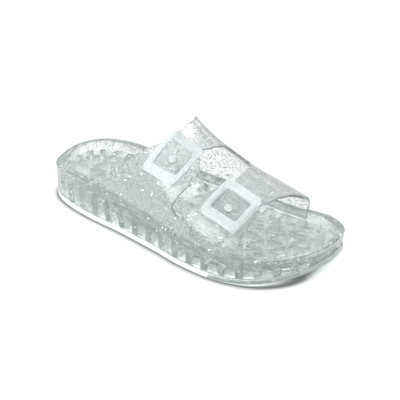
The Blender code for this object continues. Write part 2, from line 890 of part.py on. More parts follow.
def stud_matrix(patch):
    """A frame where the stud stands in the buckle's window, +Z out of the arch."""
    place = patch.under(0.0, patch.stud)
    turn = Vector(outward(*place)).to_track_quat("Z", "Y").to_matrix().to_4x4()
    return Matrix.Translation(on_arch(*place)) @ turn


def turned(name, profile, matrix, steps, group, material):
    """A turned shape: its profile goes down the outer side, and Screw turns it."""
    data = bpy.data.meshes.new(name)
    points = [(radius, 0.0, height) for radius, height in profile]
    data.from_pydata(points, [(i, i + 1) for i in range(len(points) - 1)], [])
    item = bpy.data.objects.new(name, data)
    group.objects.link(item)
    screw = item.modifiers.new("turn", "SCREW")
    screw.steps = screw.render_steps = steps
    screw.use_merge_vertices = True
    screw.merge_threshold = EPS
    bake(item)
    item.data.transform(matrix)
    mesh = bmesh.new()
    mesh.from_mesh(item.data)
    bmesh.ops.remove_doubles(mesh, verts=mesh.verts, dist=EPS)
    bpy.data.objects.remove(item)
    return finish(mesh, name, group, material)


def make_stud(name, patch, group, material):
    """A peg through the strap and its root, with a low dome over the strap."""
    top = STRAP_STEP + GAP
    profile = [(0.0, top + STUD_DOME)]
    for k in range(1, 4):
        angle = math.radians(90 - 30 * k)
        profile.append((STUD_HEAD * math.cos(angle), top + STUD_DOME * math.sin(angle)))
    profile[-1] = (STUD_HEAD, top + 0.0003)
    profile += [(STUD_HEAD, top), (STUD_RADIUS, top), (STUD_RADIUS, -UPPER_WALL), (0.0, -UPPER_WALL)]
    return turned(name, profile, stud_matrix(patch), 14, group, material)


def stud_hole(name, patch, cutters):
    low, high = -2 * UPPER_WALL, STRAP_STEP + 2 * UPPER_WALL
    radius = STUD_RADIUS + GAP
    profile = [(0.0, high), (radius, high), (radius, low), (0.0, low)]
    return turned(name, profile, stud_matrix(patch), 14, cutters, None)


def stand_at_origin(items):
    """Centre the finished shoe on its own box, standing on the floor."""
    corners = [item.matrix_world @ vert.co for item in items for vert in item.data.vertices]
    low = Vector([min(corner[k] for corner in corners) for k in range(3)])
    high = Vector([max(corner[k] for corner in corners) for k in range(3)])
    move = Matrix.Translation(-Vector(((low.x + high.x) / 2, (low.y + high.y) / 2, low.z)))
    for item in items:
        item.data.transform(move)


def main():
    clear_scene()
    group = make_collection("jelly_slide")
    cutters = make_collection("cutters")
    clear = plastic("clear_jelly", CLEAR, 0.12, 0.85)
    frosted = plastic("frosted_buckle", FROSTED, 0.45, 0.5)

    straps = {"rear": (REAR_STRAP, REAR_STRAP_WIDTH), "front": (FRONT_STRAP, FRONT_STRAP_WIDTH)}
    patches = {name: Patch(*place, *straps[name]) for name, place in BUCKLES.items()}
    edges = {"rear": REAR_EDGES, "front": FRONT_EDGES}
    sole = make_sole(group, cutters, clear)
    outsole = make_outsole(group, cutters, clear)
    inner = make_inner(patches, group, clear)
    outer = make_outer(group, clear)
    items = [sole, outsole, inner, outer]
    for name, patch in patches.items():
        buckle = make_buckle(f"buckle_{name}", patch, group, frosted)
        cut(buckle, strap_channel(f"channel_{name}", patch, edges[name], cutters))
        hole = stud_hole(f"hole_{name}", patch, cutters)
        cut(inner, hole)
        cut(outer, hole)
        items += [buckle, make_stud(f"stud_{name}", patch, group, frosted)]
    stand_at_origin(items)


main()
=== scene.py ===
# %% [markdown]
# # A clear jelly slide
#
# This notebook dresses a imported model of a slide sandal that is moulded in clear, glittering
# plastic: a deep ribbed sole, an upper with two straps, and two milky buckles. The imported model
# is a frame of plain solids. Clear plastic shows every facet, so the big pieces are made again
# here from the same shape rules, only finer, and then get the plastic, the glitter and the light.

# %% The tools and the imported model
import math

import bmesh
import bpy
import numpy as np
from mathutils import Matrix, Vector


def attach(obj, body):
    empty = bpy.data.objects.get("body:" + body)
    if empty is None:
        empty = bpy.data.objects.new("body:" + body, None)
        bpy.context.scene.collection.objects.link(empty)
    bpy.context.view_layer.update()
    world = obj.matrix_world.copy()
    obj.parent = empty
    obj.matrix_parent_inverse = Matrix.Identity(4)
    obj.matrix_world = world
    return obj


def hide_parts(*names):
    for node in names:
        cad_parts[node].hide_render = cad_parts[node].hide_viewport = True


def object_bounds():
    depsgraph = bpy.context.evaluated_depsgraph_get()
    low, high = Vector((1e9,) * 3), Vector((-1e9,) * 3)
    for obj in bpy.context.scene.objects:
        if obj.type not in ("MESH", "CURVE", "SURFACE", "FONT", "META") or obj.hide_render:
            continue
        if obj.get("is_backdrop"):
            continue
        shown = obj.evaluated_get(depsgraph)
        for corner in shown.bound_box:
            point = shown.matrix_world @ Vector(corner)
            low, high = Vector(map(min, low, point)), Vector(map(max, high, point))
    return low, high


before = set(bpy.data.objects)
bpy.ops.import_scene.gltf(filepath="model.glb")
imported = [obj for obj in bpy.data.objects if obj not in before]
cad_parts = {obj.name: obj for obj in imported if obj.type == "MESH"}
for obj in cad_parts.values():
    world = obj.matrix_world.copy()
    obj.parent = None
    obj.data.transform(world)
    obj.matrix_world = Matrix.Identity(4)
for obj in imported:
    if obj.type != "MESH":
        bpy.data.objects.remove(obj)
cad_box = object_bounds()


def in_mm(lengths):
    return [round(1000 * float(length), 1) for length in lengths]


print("nodes:", sorted(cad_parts))
print("size in mm:", in_mm(high - low for low, high in zip(*cad_box)))

# %% [markdown]
# ## The camera
#
# The view is that of a catalogue photograph: a long lens, the outer side of the right shoe in
# front and the toe to the lower right. The numbers come from fitting a camera to the outline of
# the sole. The lens shift frames the shoe without turning the camera.

# %% The camera
CAMERA_AZIMUTH = math.radians(33.445)
CAMERA_ELEVATION = math.radians(32.04)
CAMERA_DISTANCE = 1.0017
CAMERA_TARGET = Vector((-0.0025, 0.0050, 0.0200))
CAMERA_LENS = 112.3
CAMERA_SENSOR = 36.0
CAMERA_SHIFT = (0.0356, 0.0121)
CAMERA_CLIP = (0.1, 20.0)


def add_object(name, data):
    """An object that shows the data, at the origin."""
    thing = bpy.data.objects.new(name, data)
    bpy.context.scene.collection.objects.link(thing)
    return thing


toward_camera = Vector((
    math.sin(CAMERA_AZIMUTH) * math.cos(CAMERA_ELEVATION),
    -math.cos(CAMERA_AZIMUTH) * math.cos(CAMERA_ELEVATION),
    math.sin(CAMERA_ELEVATION),
))
lens = bpy.data.cameras.new("camera")
lens.sensor_width = CAMERA_SENSOR
lens.lens = CAMERA_LENS
lens.shift_x, lens.shift_y = CAMERA_SHIFT
lens.clip_start, lens.clip_end = CAMERA_CLIP
camera = add_object("camera", lens)
camera.location = CAMERA_TARGET + CAMERA_DISTANCE * toward_camera
camera.rotation_euler = (-toward_camera).to_track_quat("-Z", "Y").to_euler()
bpy.context.scene.camera = camera
print("camera at, in mm:", in_mm(camera.location))

# %% [markdown]
# ## The light
#
# Clear plastic has hardly any colour of its own: it shows what is behind it and what it
# mirrors. A white surround keeps it bright, and its darker edges come from what the plastic
# absorbs on a long way through. Three lamps add highlights: one from behind, one from the side
# of the toe, and one low in front, which the tip of the front strap mirrors. Light has to pass
# many clear walls, so the numbers of bounces are raised.

# %% The light
WORLD_LIGHT = 0.85
WHITE = (1.0, 1.0, 1.0, 1.0)
LAMPS = [
    # name, place, what it points at, side of its square, power
    ("key_lamp", (-0.5, 0.7, 1.2), (0.0, 0.0, 0.03), 0.7, 9.5),
    ("side_lamp", (0.9, -0.9, 0.9), (0.0, 0.0, 0.03), 0.5, 4.0),
    ("strap_lamp", (-0.27, -0.76, 0.72), (0.07, -0.06, 0.03), 0.6, 6.2),
]
BOUNCES = {"transparent_max_bounces": 32, "transmission_bounces": 16, "max_bounces": 20}

world = bpy.data.worlds.new("studio")
world.use_nodes = True
background = world.node_tree.nodes["Background"]
background.inputs["Color"].default_value = WHITE
background.inputs["Strength"].default_value = WORLD_LIGHT
bpy.context.scene.world = world
bpy.context.scene.view_settings.view_transform = "Standard"
for name, value in BOUNCES.items():
    setattr(bpy.context.scene.cycles, name, value)
for name, place, aim, size, power in LAMPS:
    data = bpy.data.lights.new(name, "AREA")
    data.shape = "SQUARE"
    data.size = size
    data.energy = power
    lamp = add_object(name, data)
    lamp.location = place
    lamp.rotation_euler = (Vector(aim) - Vector(place)).to_track_quat("-Z", "Y").to_euler()
print("lamps:", [lamp[0] for lamp in LAMPS])

# %% [markdown]
# ## Helpers for node trees
#
# Every material here is a small tree of nodes. Four helpers keep the trees readable.

# %% Helpers for node trees
def add_node(tree, kind, inputs=None, **settings):
    node = tree.nodes.new(kind)
    for name, value in settings.items():
        setattr(node, name, value)
    for name, value in (inputs or {}).items():
        node.inputs[name].default_value = value
    return node


def join(one, out, other, into):
    one.id_data.links.new(one.outputs[out], other.inputs[into])


def add_ramp(tree, stops):
    """A colour ramp; each stop is its place and its colour."""
    ramp = add_node(tree, "ShaderNodeValToRGB")
    elements = ramp.color_ramp.elements
    for element, (place, colour) in zip((elements[0], elements[1]), (stops[0], stops[-1])):
        element.position, element.color = place, colour
    for place, colour in stops[1:-1]:
        elements.new(place).color = colour
    return ramp


def new_material(name, inputs):
    """A material, its tree and its Principled shader."""
    material = bpy.data.materials.new(name)
    material.use_nodes = True
    shader = material.node_tree.nodes["Principled BSDF"]
    for socket, value in inputs.items():
        shader.inputs[socket].default_value = value
    return material, material.node_tree, shader


# %% [markdown]
# ## The floor
#
# Where a shoe stands on a white floor there is a thin dark contact shadow round its sole, and
# under clear plastic the floor is bright with the light the plastic gathers. Soft lamps alone draw
# that shadow too faintly, so both are painted into the floor: an Ambient Occlusion node tells how
# open each place of the floor is to the room within a centimetre, a ramp paints shadow on the
# half-closed places, and a Map Range paints a faint glow on the closed ones under the sole.

# %% The floor
FLOOR_HALF = 3
FLOOR_WHITE = 0.93
FLOOR_ROUGHNESS = 0.9
SHADOW_REACH = 0.010
SHADOW_SAMPLES = 16
# Painted contact shadow: the floor's colour by how open it is, dark round the sole.
SHADOW_SHADES = [
    # how open the floor is to the room, how light it is
    (0.0, FLOOR_WHITE), (0.15, 0.93), (0.30, 0.30), (0.50, 0.07), (0.62, 0.22), (0.80, 0.72),
    (0.97, FLOOR_WHITE),
]
# Painted light: the floor under the sole glows, in place of the light the clear plastic gathers
# there.
GLOW = 0.28
GLOW_OPENNESS = (0.06, 0.26)

corners = [(x * FLOOR_HALF, y * FLOOR_HALF, 0) for x, y in [(-1, -1), (1, -1), (1, 1), (-1, 1)]]
floor_mesh = bpy.data.meshes.new("floor")
floor_mesh.from_pydata(corners, [], [(0, 1, 2, 3)])
floor = add_object("floor", floor_mesh)
material, tree, shader = new_material(
    "floor", {"Roughness": FLOOR_ROUGHNESS, "Emission Color": WHITE})
openness = add_node(
    tree, "ShaderNodeAmbientOcclusion", {"Distance": SHADOW_REACH}, samples=SHADOW_SAMPLES)
# The ramp paints the contact shadow into the floor's colour.
painted_shades = add_ramp(tree, [(place, (grey, grey, grey, 1.0)) for place, grey in SHADOW_SHADES])
join(openness, "AO", painted_shades, "Fac")
join(painted_shades, "Color", shader, "Base Color")
# The Map Range paints a glow into the floor where it is closed in under the sole.
closed = add_node(tree, "ShaderNodeMapRange", {
    "From Min": GLOW_OPENNESS[0], "From Max": GLOW_OPENNESS[1], "To Min": GLOW, "To Max": 0.0})
join(openness, "AO", closed, "Value")
join(closed, "Result", shader, "Emission Strength")
floor_mesh.materials.append(material)
floor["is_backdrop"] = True
print("floor:", 2 * FLOOR_HALF, "m wide")

# %% [markdown]
# ## The plastics
#
# Jelly plastic is soft PVC. Light goes through it, bends a little and loses some strength on the
# way, most of all its red. A Principled shader that mostly transmits bends the light, and a
# Volume Absorption shader takes the strength away, so thick places turn darker and greener by
# themselves. Rays that only ask how much of a lamp arrives meet a Transparent shader instead:
# that lets light through the shoe onto the floor, as real plastic does.
#
# Nothing moulded is quite even, so a fine noise drives the tint, the roughness and a small bump.

# %% How a clear plastic is made
REFRACTION = 1.5
NOISE_SPREAD = (0.35, 0.65)
TINT_STOPS = (0.38, 0.56)
LOW_TINT = 0.74
RELIEF_HEIGHT = 0.0004


def add_noise(tree, scale):
    """A noise on the piece's own coordinates."""
    place = add_node(tree, "ShaderNodeTexCoord")
    noise = add_node(tree, "ShaderNodeTexNoise", {"Scale": scale, "Detail": 2.0})
    join(place, "Object", noise, "Vector")
    return noise


def clear_plastic(name, tint, through, roughness, bump, grain, loss, density, shadow):
    material, tree, shader = new_material(
        name, {"Transmission Weight": through, "IOR": REFRACTION})
    noise = add_noise(tree, grain)
    rough = add_node(tree, "ShaderNodeMapRange", {
        "From Min": NOISE_SPREAD[0], "From Max": NOISE_SPREAD[1],
        "To Min": roughness[0], "To Max": roughness[1]})
    low_tint = (*(LOW_TINT * channel for channel in tint[:3]), 1.0)
    colours = add_ramp(tree, [(TINT_STOPS[0], low_tint), (TINT_STOPS[1], tint)])
    relief = add_node(tree, "ShaderNodeBump", {"Strength": bump, "Distance": RELIEF_HEIGHT})
    join(noise, "Fac", rough, "Value")
    join(noise, "Fac", colours, "Fac")
    join(noise, "Fac", relief, "Height")
    join(rough, "Result", shader, "Roughness")
    join(colours, "Color", shader, "Base Color")
    join(relief, "Normal", shader, "Normal")

    rays = add_node(tree, "ShaderNodeLightPath")
    passing = add_node(tree, "ShaderNodeBsdfTransparent", {"Color": shadow})
    mix = add_node(tree, "ShaderNodeMixShader")
    absorb = add_node(tree, "ShaderNodeVolumeAbsorption", {"Color": loss, "Density": density})
    output = tree.nodes["Material Output"]
    join(rays, "Is Shadow Ray", mix, "Fac")
    join(shader, "BSDF", mix, 1)
    join(passing, "BSDF", mix, 2)
    join(mix, "Shader", output, "Surface")
    join(absorb, "Volume", output, "Volume")
    return material


# %% [markdown]
# The plate below the sole is a shade milkier than the rest, which keeps its edge light where the
# toe lifts off the floor. The buckles are frosted.

# %% The three plastics
CLEAR = {
    "tint": (0.955, 0.98, 0.97, 1.0), "roughness": (0.05, 0.16), "bump": 0.45, "grain": 1400.0,
    "loss": (0.72, 0.79, 0.77, 1.0), "density": 34.0, "shadow": (0.95, 0.965, 0.96, 1.0),
}
FROSTED = {
    "tint": (0.86, 0.895, 0.895, 1.0), "roughness": (0.28, 0.40), "bump": 0.08, "grain": 900.0,
    "loss": (0.85, 0.88, 0.87, 1.0), "density": 40.0, "shadow": (0.85, 0.87, 0.87, 1.0),
}

clear_jelly = clear_plastic("clear_jelly", through=0.93, **CLEAR)
clear_plate = clear_plastic("clear_plate", through=0.86, **CLEAR)
frosted_buckle = clear_plastic("frosted_buckle", through=0.64, **FROSTED)
print("plastics:", [m.name for m in (clear_jelly, clear_plate, frosted_buckle)])

# %% [markdown]
# ## Finer shapes from the same rules
#
# Facets vanish on painted metal, but clear plastic bends light at every one of them. So the
# sole and the upper aren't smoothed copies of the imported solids: the rules that made those
# solids are written out here once more, on whole arrays of points, and sampled about every
# millimetre. x runs from the heel and y from the line of the foot, and the last step moves each
# piece into the frame, whose origin is the middle of the shoe.

# %% Curves and tables
TO_FRAME = Matrix.Translation((-0.128054, 0.005777, 0.0))
PLAY = 0.0003


def steady(table, index, at):
    """A column of a table, read smoothly at any values of its first column."""
    rows = np.array(table, dtype=float)
    knots, values = rows[:, 0], rows[:, index]
    slopes = np.gradient(values, knots)
    at = np.clip(at, knots[0], knots[-1])
    k = np.clip(np.searchsorted(knots, at) - 1, 0, len(knots) - 2)
    span = knots[k + 1] - knots[k]
    t = (at - knots[k]) / span
    return ((1 + 2 * t) * (1 - t) ** 2 * values[k] + t * (1 - t) ** 2 * span * slopes[k]
            + t * t * (3 - 2 * t) * values[k + 1] + t * t * (t - 1) * span * slopes[k + 1])


def ease(t):
    t = np.clip(t, 0.0, 1.0)
    return t * t * (3 - 2 * t)


def between(before, start, end, after, t):
    """A share t of the way from start to end, on a smooth curve through all four."""
    return 0.5 * (2 * start + (end - before) * t
                  + (2 * before - 5 * start + 4 * end - after) * t * t
                  + (3 * start - before - 3 * end + after) * t ** 3)


def closed_curve(points, steps):
    """A smooth closed curve through the points."""
    before, end = np.roll(points, 1, axis=0), np.roll(points, -1, axis=0)
    after = np.roll(points, -2, axis=0)
    curve = [between(before, points, end, after, t) for t in np.arange(steps) / steps]
    return np.stack(curve, axis=1).reshape(-1, points.shape[1])


print("move into the frame in mm:", in_mm(TO_FRAME.translation))


# %% [markdown]
# ## The outline of the sole
#
# A sole is drawn as one closed line round the foot: round at the heel, hollow at the arch, wide
# at the ball and pointed towards the big toe. Twenty-two corners and a smooth curve through them
# give it, and every ring of the sole is this line moved inwards by a little.

# %% The outline of the sole
SOLE_LENGTH = 0.256
SOLE_WIDTH = 0.097
OUTLINE = [
    # share of the length from the heel, share of the width towards the inner side
    (0.000, 0.000), (0.026, -0.187), (0.091, -0.288), (0.200, -0.358), (0.339, -0.403),
    (0.476, -0.463), (0.595, -0.527), (0.718, -0.544), (0.829, -0.479), (0.913, -0.337),
    (0.969, -0.155), (1.000, 0.063), (0.991, 0.293), (0.916, 0.440), (0.816, 0.443),
    (0.709, 0.436), (0.603, 0.413), (0.480, 0.335), (0.339, 0.324), (0.200, 0.386),
    (0.079, 0.361), (0.009, 0.218),
]
STEPS_A_CORNER = 24
NEAR = 0.002

outline = closed_curve(np.array(OUTLINE) * (SOLE_LENGTH, SOLE_WIDTH), STEPS_A_CORNER)
outline[:, 0] = (outline[:, 0] - outline[:, 0].min()) * SOLE_LENGTH / np.ptp(outline[:, 0])
outline[:, 1] *= SOLE_WIDTH / np.ptp(outline[:, 1])
outline_loop = np.vstack([outline, outline[:1]])
outline_reach = np.concatenate([[0], np.cumsum(np.hypot(*np.diff(outline_loop, axis=0).T))])
ROUND = outline_reach[-1]
toe_index = int(np.argmax(outline[:, 0]))
outer_half = outline[:toe_index + 1]
inner_half = np.vstack([outline[toe_index:], outline[:1]])[::-1]
print("way round the sole in mm:", in_mm([ROUND]))


def on_outline(distance):
    return np.stack([np.interp(distance % ROUND, outline_reach, outline_loop[:, k])
                     for k in (0, 1)], axis=-1)


def inside_outline(distance, inset):
    """Points at distances round the outline, moved inwards."""
    distance = np.asarray(distance, dtype=float)
    ahead, behind = on_outline(distance + NEAR), on_outline(distance - NEAR)
    tangent = (ahead - behind) / np.linalg.norm(ahead - behind, axis=-1, keepdims=True)
    inward = np.stack([-tangent[..., 1], tangent[..., 0]], axis=-1)
    return on_outline(distance) + np.asarray(inset)[..., None] * inward


def side_of_sole(x, inner):
    half = inner_half if inner else outer_half
    return np.interp(x, half[:, 0], half[:, 1])


def is_inside(x, y, inset):
    """Whether a point lies inside the outline, at least inset from it."""
    if np.min(np.hypot(outline[:, 0] - x, outline[:, 1] - y)) < inset:
        return False
    after = np.roll(outline, -1, axis=0)
    crosses = (outline[:, 1] > y) != (after[:, 1] > y)
    rise = np.where(crosses, after[:, 1] - outline[:, 1], 1.0)
    meet = outline[:, 0] + (y - outline[:, 1]) * (after[:, 0] - outline[:, 0]) / rise
    return bool(np.sum(crosses & (meet > x)) % 2)


# %% [markdown]
# ## Heights of the sole
#
# The rim is high at the waist and the toe and low at the ball, with a bump on the arch's side.
# The footbed lies a step below it and is dished. The toe curls up from the floor.

# %% Heights of the sole
RIM_HEIGHTS = [(0.0, 0.0291), (0.35, 0.0340), (0.75, 0.0243), (1.0, 0.0279)]
ARCH_RISE = 0.0053
ARCH_MIDDLE, ARCH_SPREAD, ARCH_SIDE = 0.42, 0.18, 0.31
TOE_SPRING = 0.0113
SPRING_START, SPRING_RUN = 0.70, 0.30
BED_ENDS = (0.02, 0.98)
OUTSOLE = 0.0036
RIM_STEP = 0.0050
DRAFT = 0.0012
STATIONS = [
    # share of the length, height of the side windows, sink of the footbed
    (0.00, 0.66, 0.40), (0.12, 0.68, 0.80), (0.24, 0.58, 0.60), (0.42, 0.42, 0.20),
    (0.60, 0.40, 0.35), (0.74, 0.40, 0.45), (0.88, 0.36, 0.30), (1.00, 0.34, 0.15),
]
rim_shares, rim_values = np.array(RIM_HEIGHTS).T
rim_curve = np.polyfit(rim_shares * SOLE_LENGTH, rim_values, len(rim_shares) - 1)


def spring(x):
    return TOE_SPRING * np.clip((x / SOLE_LENGTH - SPRING_START) / SPRING_RUN, 0.0, 1.0) ** 2


def rim_height(x, y):
    inner = np.clip(y / (ARCH_SIDE * SOLE_WIDTH), 0.0, 1.0)
    from_arch = (x / SOLE_LENGTH - ARCH_MIDDLE) / ARCH_SPREAD
    bump = ARCH_RISE * np.exp(-(from_arch ** 2)) * inner
    return np.polyval(rim_curve, x) + bump


def sole_bottom(x):
    return spring(x) + OUTSOLE + PLAY


def footbed(x, y):
    x_in = np.clip(x, BED_ENDS[0] * SOLE_LENGTH, BED_ENDS[1] * SOLE_LENGTH)
    inner, outer = side_of_sole(x_in, True), side_of_sole(x_in, False)
    across = (2 * y - inner - outer) / (inner - outer)
    sink = RIM_STEP * steady(STATIONS, 2, x / SOLE_LENGTH) * np.maximum(0.0, 1 - across ** 2)
    return rim_height(x, y) - RIM_STEP - sink


def window_top(x, y):
    low = sole_bottom(x)
    return low + steady(STATIONS, 1, x / SOLE_LENGTH) * (rim_height(x, y) - low)


print("rim at heel and toe in mm:", in_mm(rim_height(x, 0) for x in (0, SOLE_LENGTH)))

# %% [markdown]
# ## Meshes from rings
#
# A skin between closed rings makes most of the sole. Booleans then take the cells out of it.
# Every piece is built in the rules' own coordinates and moved into the frame when it is done.

# %% Meshes from rings
MERGE = 0.00001


def new_piece(name, points, faces, material=None):
    data = bpy.data.meshes.new(name)
    data.from_pydata([tuple(p) for p in points], [], faces)
    mesh = bmesh.new()
    mesh.from_mesh(data)
    bmesh.ops.remove_doubles(mesh, verts=mesh.verts, dist=MERGE)
    bmesh.ops.recalc_face_normals(mesh, faces=mesh.faces)
    mesh.to_mesh(data)
    mesh.free()
    if material:
        data.materials.append(material)
    return add_object(name, data)


def ring_faces(rings, closed=True):
    """Quads between neighbouring rows of equally many points."""
    count = len(rings[0])
    pairs = [(i, (i + 1) % count) for i in range(count if closed else count - 1)]
    return [(low + i, low + j, low + count + j, low + count + i)
            for low in range(0, count * (len(rings) - 1), count) for i, j in pairs]


def tube_faces(rings):
    """Quads along a tube, and a face across either end."""
    count = len(rings[0])
    last = count * (len(rings) - 1)
    return ring_faces(rings) + [tuple(range(count)), tuple(range(last, last + count))]


def close_across(points, faces, start, count, height, steps):
    """Close the ring that begins at start with rungs from side to side of the foot."""
    half = count // 2
    rungs = [[start] * (steps + 1)]
    for i in range(1, half):
        one, two = np.array(points[start + i]), np.array(points[start + count - i])
        rung = [start + i]
        for share in np.arange(1, steps) / steps:
            x, y = (one + (two - one) * share)[:2]
            rung.append(len(points))
            points.append((x, y, float(height(x, y))))
        rungs.append(rung + [start + count - i])
    rungs.append([start + half] * (steps + 1))
    for one, two in zip(rungs, rungs[1:]):
        for k in range(steps):
            loop = tuple(dict.fromkeys((one[k], one[k + 1], two[k + 1], two[k])))
            if len(loop) > 2:
                faces.append(loop)


# %% Finishing a piece
def bake(piece):
    """Replace a piece's mesh with what its modifiers make of it."""
    bpy.context.view_layer.update()
    shown = piece.evaluated_get(bpy.context.evaluated_depsgraph_get())
    data = bpy.data.meshes.new_from_object(shown)
    piece.modifiers.clear()
    piece.data = data


def add_modifier(piece, name, kind, **settings):
    modifier = piece.modifiers.new(name, kind)
    for setting, value in settings.items():
        setattr(modifier, setting, value)
    return modifier


def cut(piece, cutter):
    add_modifier(piece, "cut", "BOOLEAN", solver="EXACT", object=cutter)
    bake(piece)
    bpy.data.objects.remove(cutter, do_unlink=True)


def done(piece, slot, *nodes, smooth=30):
    """Move a finished piece into the frame and let it stand for its CAD nodes."""
    piece.data.transform(TO_FRAME)
    piece.data.shade_smooth()
    piece.data.set_sharp_from_angle(angle=math.radians(smooth))
    if nodes:
        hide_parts(*nodes)
    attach(piece, "root")
    print(piece.name, len(piece.data.polygons), "faces")


# %% [markdown]
# ## The sole: rim, ribs and windows
#
# The side of the sole is one upright wall with shallow windows between ribs. Each ring of the
# wall is the outline at one height, moved inwards where a window lies. The rim is rounded over
# to a flat top, and falls in a soft step to the footbed.

# %% Places round the sole
RIB_PITCH = 0.0150
RIB = 0.0040
RIB_FLANK = 0.0010
WINDOW_DEPTH = 0.0010
WINDOW_FOOT = 0.0012
RIM_ROUND = 0.0012
RIM_FLAT_INSETS = (0.0030, 0.0045)
RIM_FLAT_END = 0.0058
BED_INSETS = [0.0094, 0.0110, 0.0130, 0.0155, 0.0180, 0.0210, 0.0245]
FOOT_EDGE = 0.0004

rib_count = round(ROUND / RIB_PITCH)
pitch = ROUND / rib_count
rib_offsets = [0.0, 0.0011, 0.0020, 0.00225, 0.0025, 0.00275, 0.0030, 0.0042, 0.0058]
rib_offsets += [pitch / 2] + [pitch - offset for offset in rib_offsets[:0:-1]]
around = np.array([i * pitch + offset for i in range(rib_count) for offset in rib_offsets])
if len(around) % 2:
    around = np.append(around, ROUND - FOOT_EDGE)
print("ribs round the sole:", rib_count, "- points in a ring:", len(around))


# %% Rings of the sole
edge_x, edge_y = on_outline(around).T
edge_rim, edge_low = rim_height(edge_x, edge_y), sole_bottom(edge_x)


def window_share(distance):
    """0 on a rib and 1 in a window, with a soft flank between."""
    from_rib = np.abs((distance + pitch / 2) % pitch - pitch / 2)
    return ease((from_rib - RIB / 2) / RIB_FLANK)


def inset_ring(inset, height):
    return np.column_stack([inside_outline(around, inset), height])


def wall_ring(height, deepen=0.0, inset=0.0):
    """A ring of the side wall; its draft leans it in towards the bottom."""
    lean = DRAFT * (edge_rim - height) / (edge_rim - edge_low)
    deep = deepen * WINDOW_DEPTH * window_share(around)
    return inset_ring(inset + lean + deep, height)


def bed_ring(inset, share=1.0):
    """A ring of the step and the footbed: share 0 is the rim's height and 1 the footbed's."""
    plan = inside_outline(around, inset)
    return inset_ring(inset, edge_rim + share * (footbed(*plan.T) - edge_rim))


# %% The skin of the sole
FLANK_STEPS, WINDOW_STEPS, RIM_STEPS, BED_STEPS = 5, 8, 6, 8
ABOVE_WINDOW = (0.35, 0.7)
BED_RUNGS = 8

window_low = edge_low + WINDOW_FOOT
window_high = window_top(edge_x, edge_y)
rings = [wall_ring(edge_low, inset=FOOT_EDGE), wall_ring(edge_low + FOOT_EDGE)]
for share in np.linspace(0, 1, FLANK_STEPS):
    rings.append(wall_ring(window_low + share * RIB_FLANK, ease(share)))
for share in np.linspace(0, 1, WINDOW_STEPS)[1:-1]:
    rings.append(wall_ring((1 - share) * (window_low + RIB_FLANK)
                           + share * (window_high - RIB_FLANK), 1.0))
for share in np.linspace(1, 0, FLANK_STEPS):
    rings.append(wall_ring(window_high - share * RIB_FLANK, ease(share)))
for share in ABOVE_WINDOW:
    rings.append(wall_ring(window_high + share * (edge_rim - RIM_ROUND - window_high)))
for angle in np.linspace(0, math.pi / 2, RIM_STEPS):
    rings.append(inset_ring(RIM_ROUND * (1 - math.cos(angle)),
                            edge_rim - RIM_ROUND * (1 - math.sin(angle))))
rings += [inset_ring(inset, edge_rim) for inset in RIM_FLAT_INSETS]
for share in np.linspace(0, 1, BED_STEPS):
    rings.append(bed_ring(RIM_FLAT_END + share * (BED_INSETS[0] - RIM_FLAT_END), ease(share)))
rings += [bed_ring(inset) for inset in BED_INSETS[1:]]

points = list(np.vstack(rings))
faces = ring_faces(rings)
count = len(around)
close_across(points, faces, 0, count, lambda x, y: sole_bottom(x), 1)
close_across(points, faces, (len(rings) - 1) * count, count, footbed, BED_RUNGS)
sole = new_piece("sole", points, faces, clear_jelly)
print("skin of the sole:", len(sole.data.polygons), "faces")

# %% [markdown]
# ## Glitter
#
# Fine silver flakes are stirred into the melt, so in the cooled plastic they lie at any depth and
# any angle, and each one is a speck of light or shade. A Geometry Nodes tree scatters points over
# a piece's skin, sinks each a random way into the plastic and puts a small hexagon there, turned
# and sized at random. There are far too many to lay out by hand, and as real mirrors they
# twinkle when the eye moves, which a speckled picture wouldn't do.

# %% The silver
FLAKE_ROUGHNESS = 0.15
FLAKE_SHADE_SCALE = 800.0
# Painted shade: a noise darkens the colour of some flakes, in place of flakes turned away from the
# light or in shadow.
FLAKE_PAINTED_SHADES = [(0.42, (0.42, 0.45, 0.45, 1.0)), (0.56, (0.98, 0.985, 0.98, 1.0))]

silver_flakes, tree, shader = new_material(
    "silver_flakes", {"Metallic": 1.0, "Roughness": FLAKE_ROUGHNESS})
# The ramp paints shade on some flakes, at random.
painted_shades = add_ramp(tree, FLAKE_PAINTED_SHADES)
join(add_noise(tree, FLAKE_SHADE_SCALE), "Fac", painted_shades, "Fac")
join(painted_shades, "Color", shader, "Base Color")
print("silver:", len(tree.nodes), "nodes")

# %% The tree that strews the flakes
FLAKE_CORNERS = 6
FLAKE_RADIUS = 0.00048
FLAKE_SIZES = (0.55, 1.25)
FLAKE_SIZE_SEED = 7
SHALLOWEST_FLAKE = 0.0003
FACING_DOWN = -0.5


def scatter_on_skin(tree, given):
    """Points at random on all of the skin that doesn't face down."""
    normal = add_node(tree, "GeometryNodeInputNormal")
    parts = add_node(tree, "ShaderNodeSeparateXYZ")
    upward = add_node(tree, "FunctionNodeCompare", {"B": FACING_DOWN},
                      data_type="FLOAT", operation="GREATER_THAN")
    scatter = add_node(tree, "GeometryNodeDistributePointsOnFaces", distribute_method="RANDOM")
    join(normal, "Normal", parts, "Vector")
    join(parts, "Z", upward, "A")
    join(upward, "Result", scatter, "Selection")
    join(given, "Skin", scatter, "Mesh")
    join(given, "Density", scatter, "Density")
    join(given, "Seed", scatter, "Seed")
    return scatter


def sink_points(tree, given, scatter):
    """Each point moved into the plastic, by a random depth."""
    depth = add_node(
        tree, "FunctionNodeRandomValue", {2: SHALLOWEST_FLAKE}, data_type="FLOAT")
    inward = add_node(tree, "ShaderNodeMath", {1: -1.0}, operation="MULTIPLY")
    sink = add_node(tree, "ShaderNodeVectorMath", operation="SCALE")
    sunk = add_node(tree, "GeometryNodeSetPosition")
    join(given, "Deepest", depth, 3)
    join(given, "Seed", depth, "Seed")
    join(depth, 1, inward, 0)
    join(scatter, "Normal", sink, 0)
    join(inward, 0, sink, "Scale")
    join(scatter, "Points", sunk, "Geometry")
    join(sink, 0, sunk, "Offset")
    return sunk


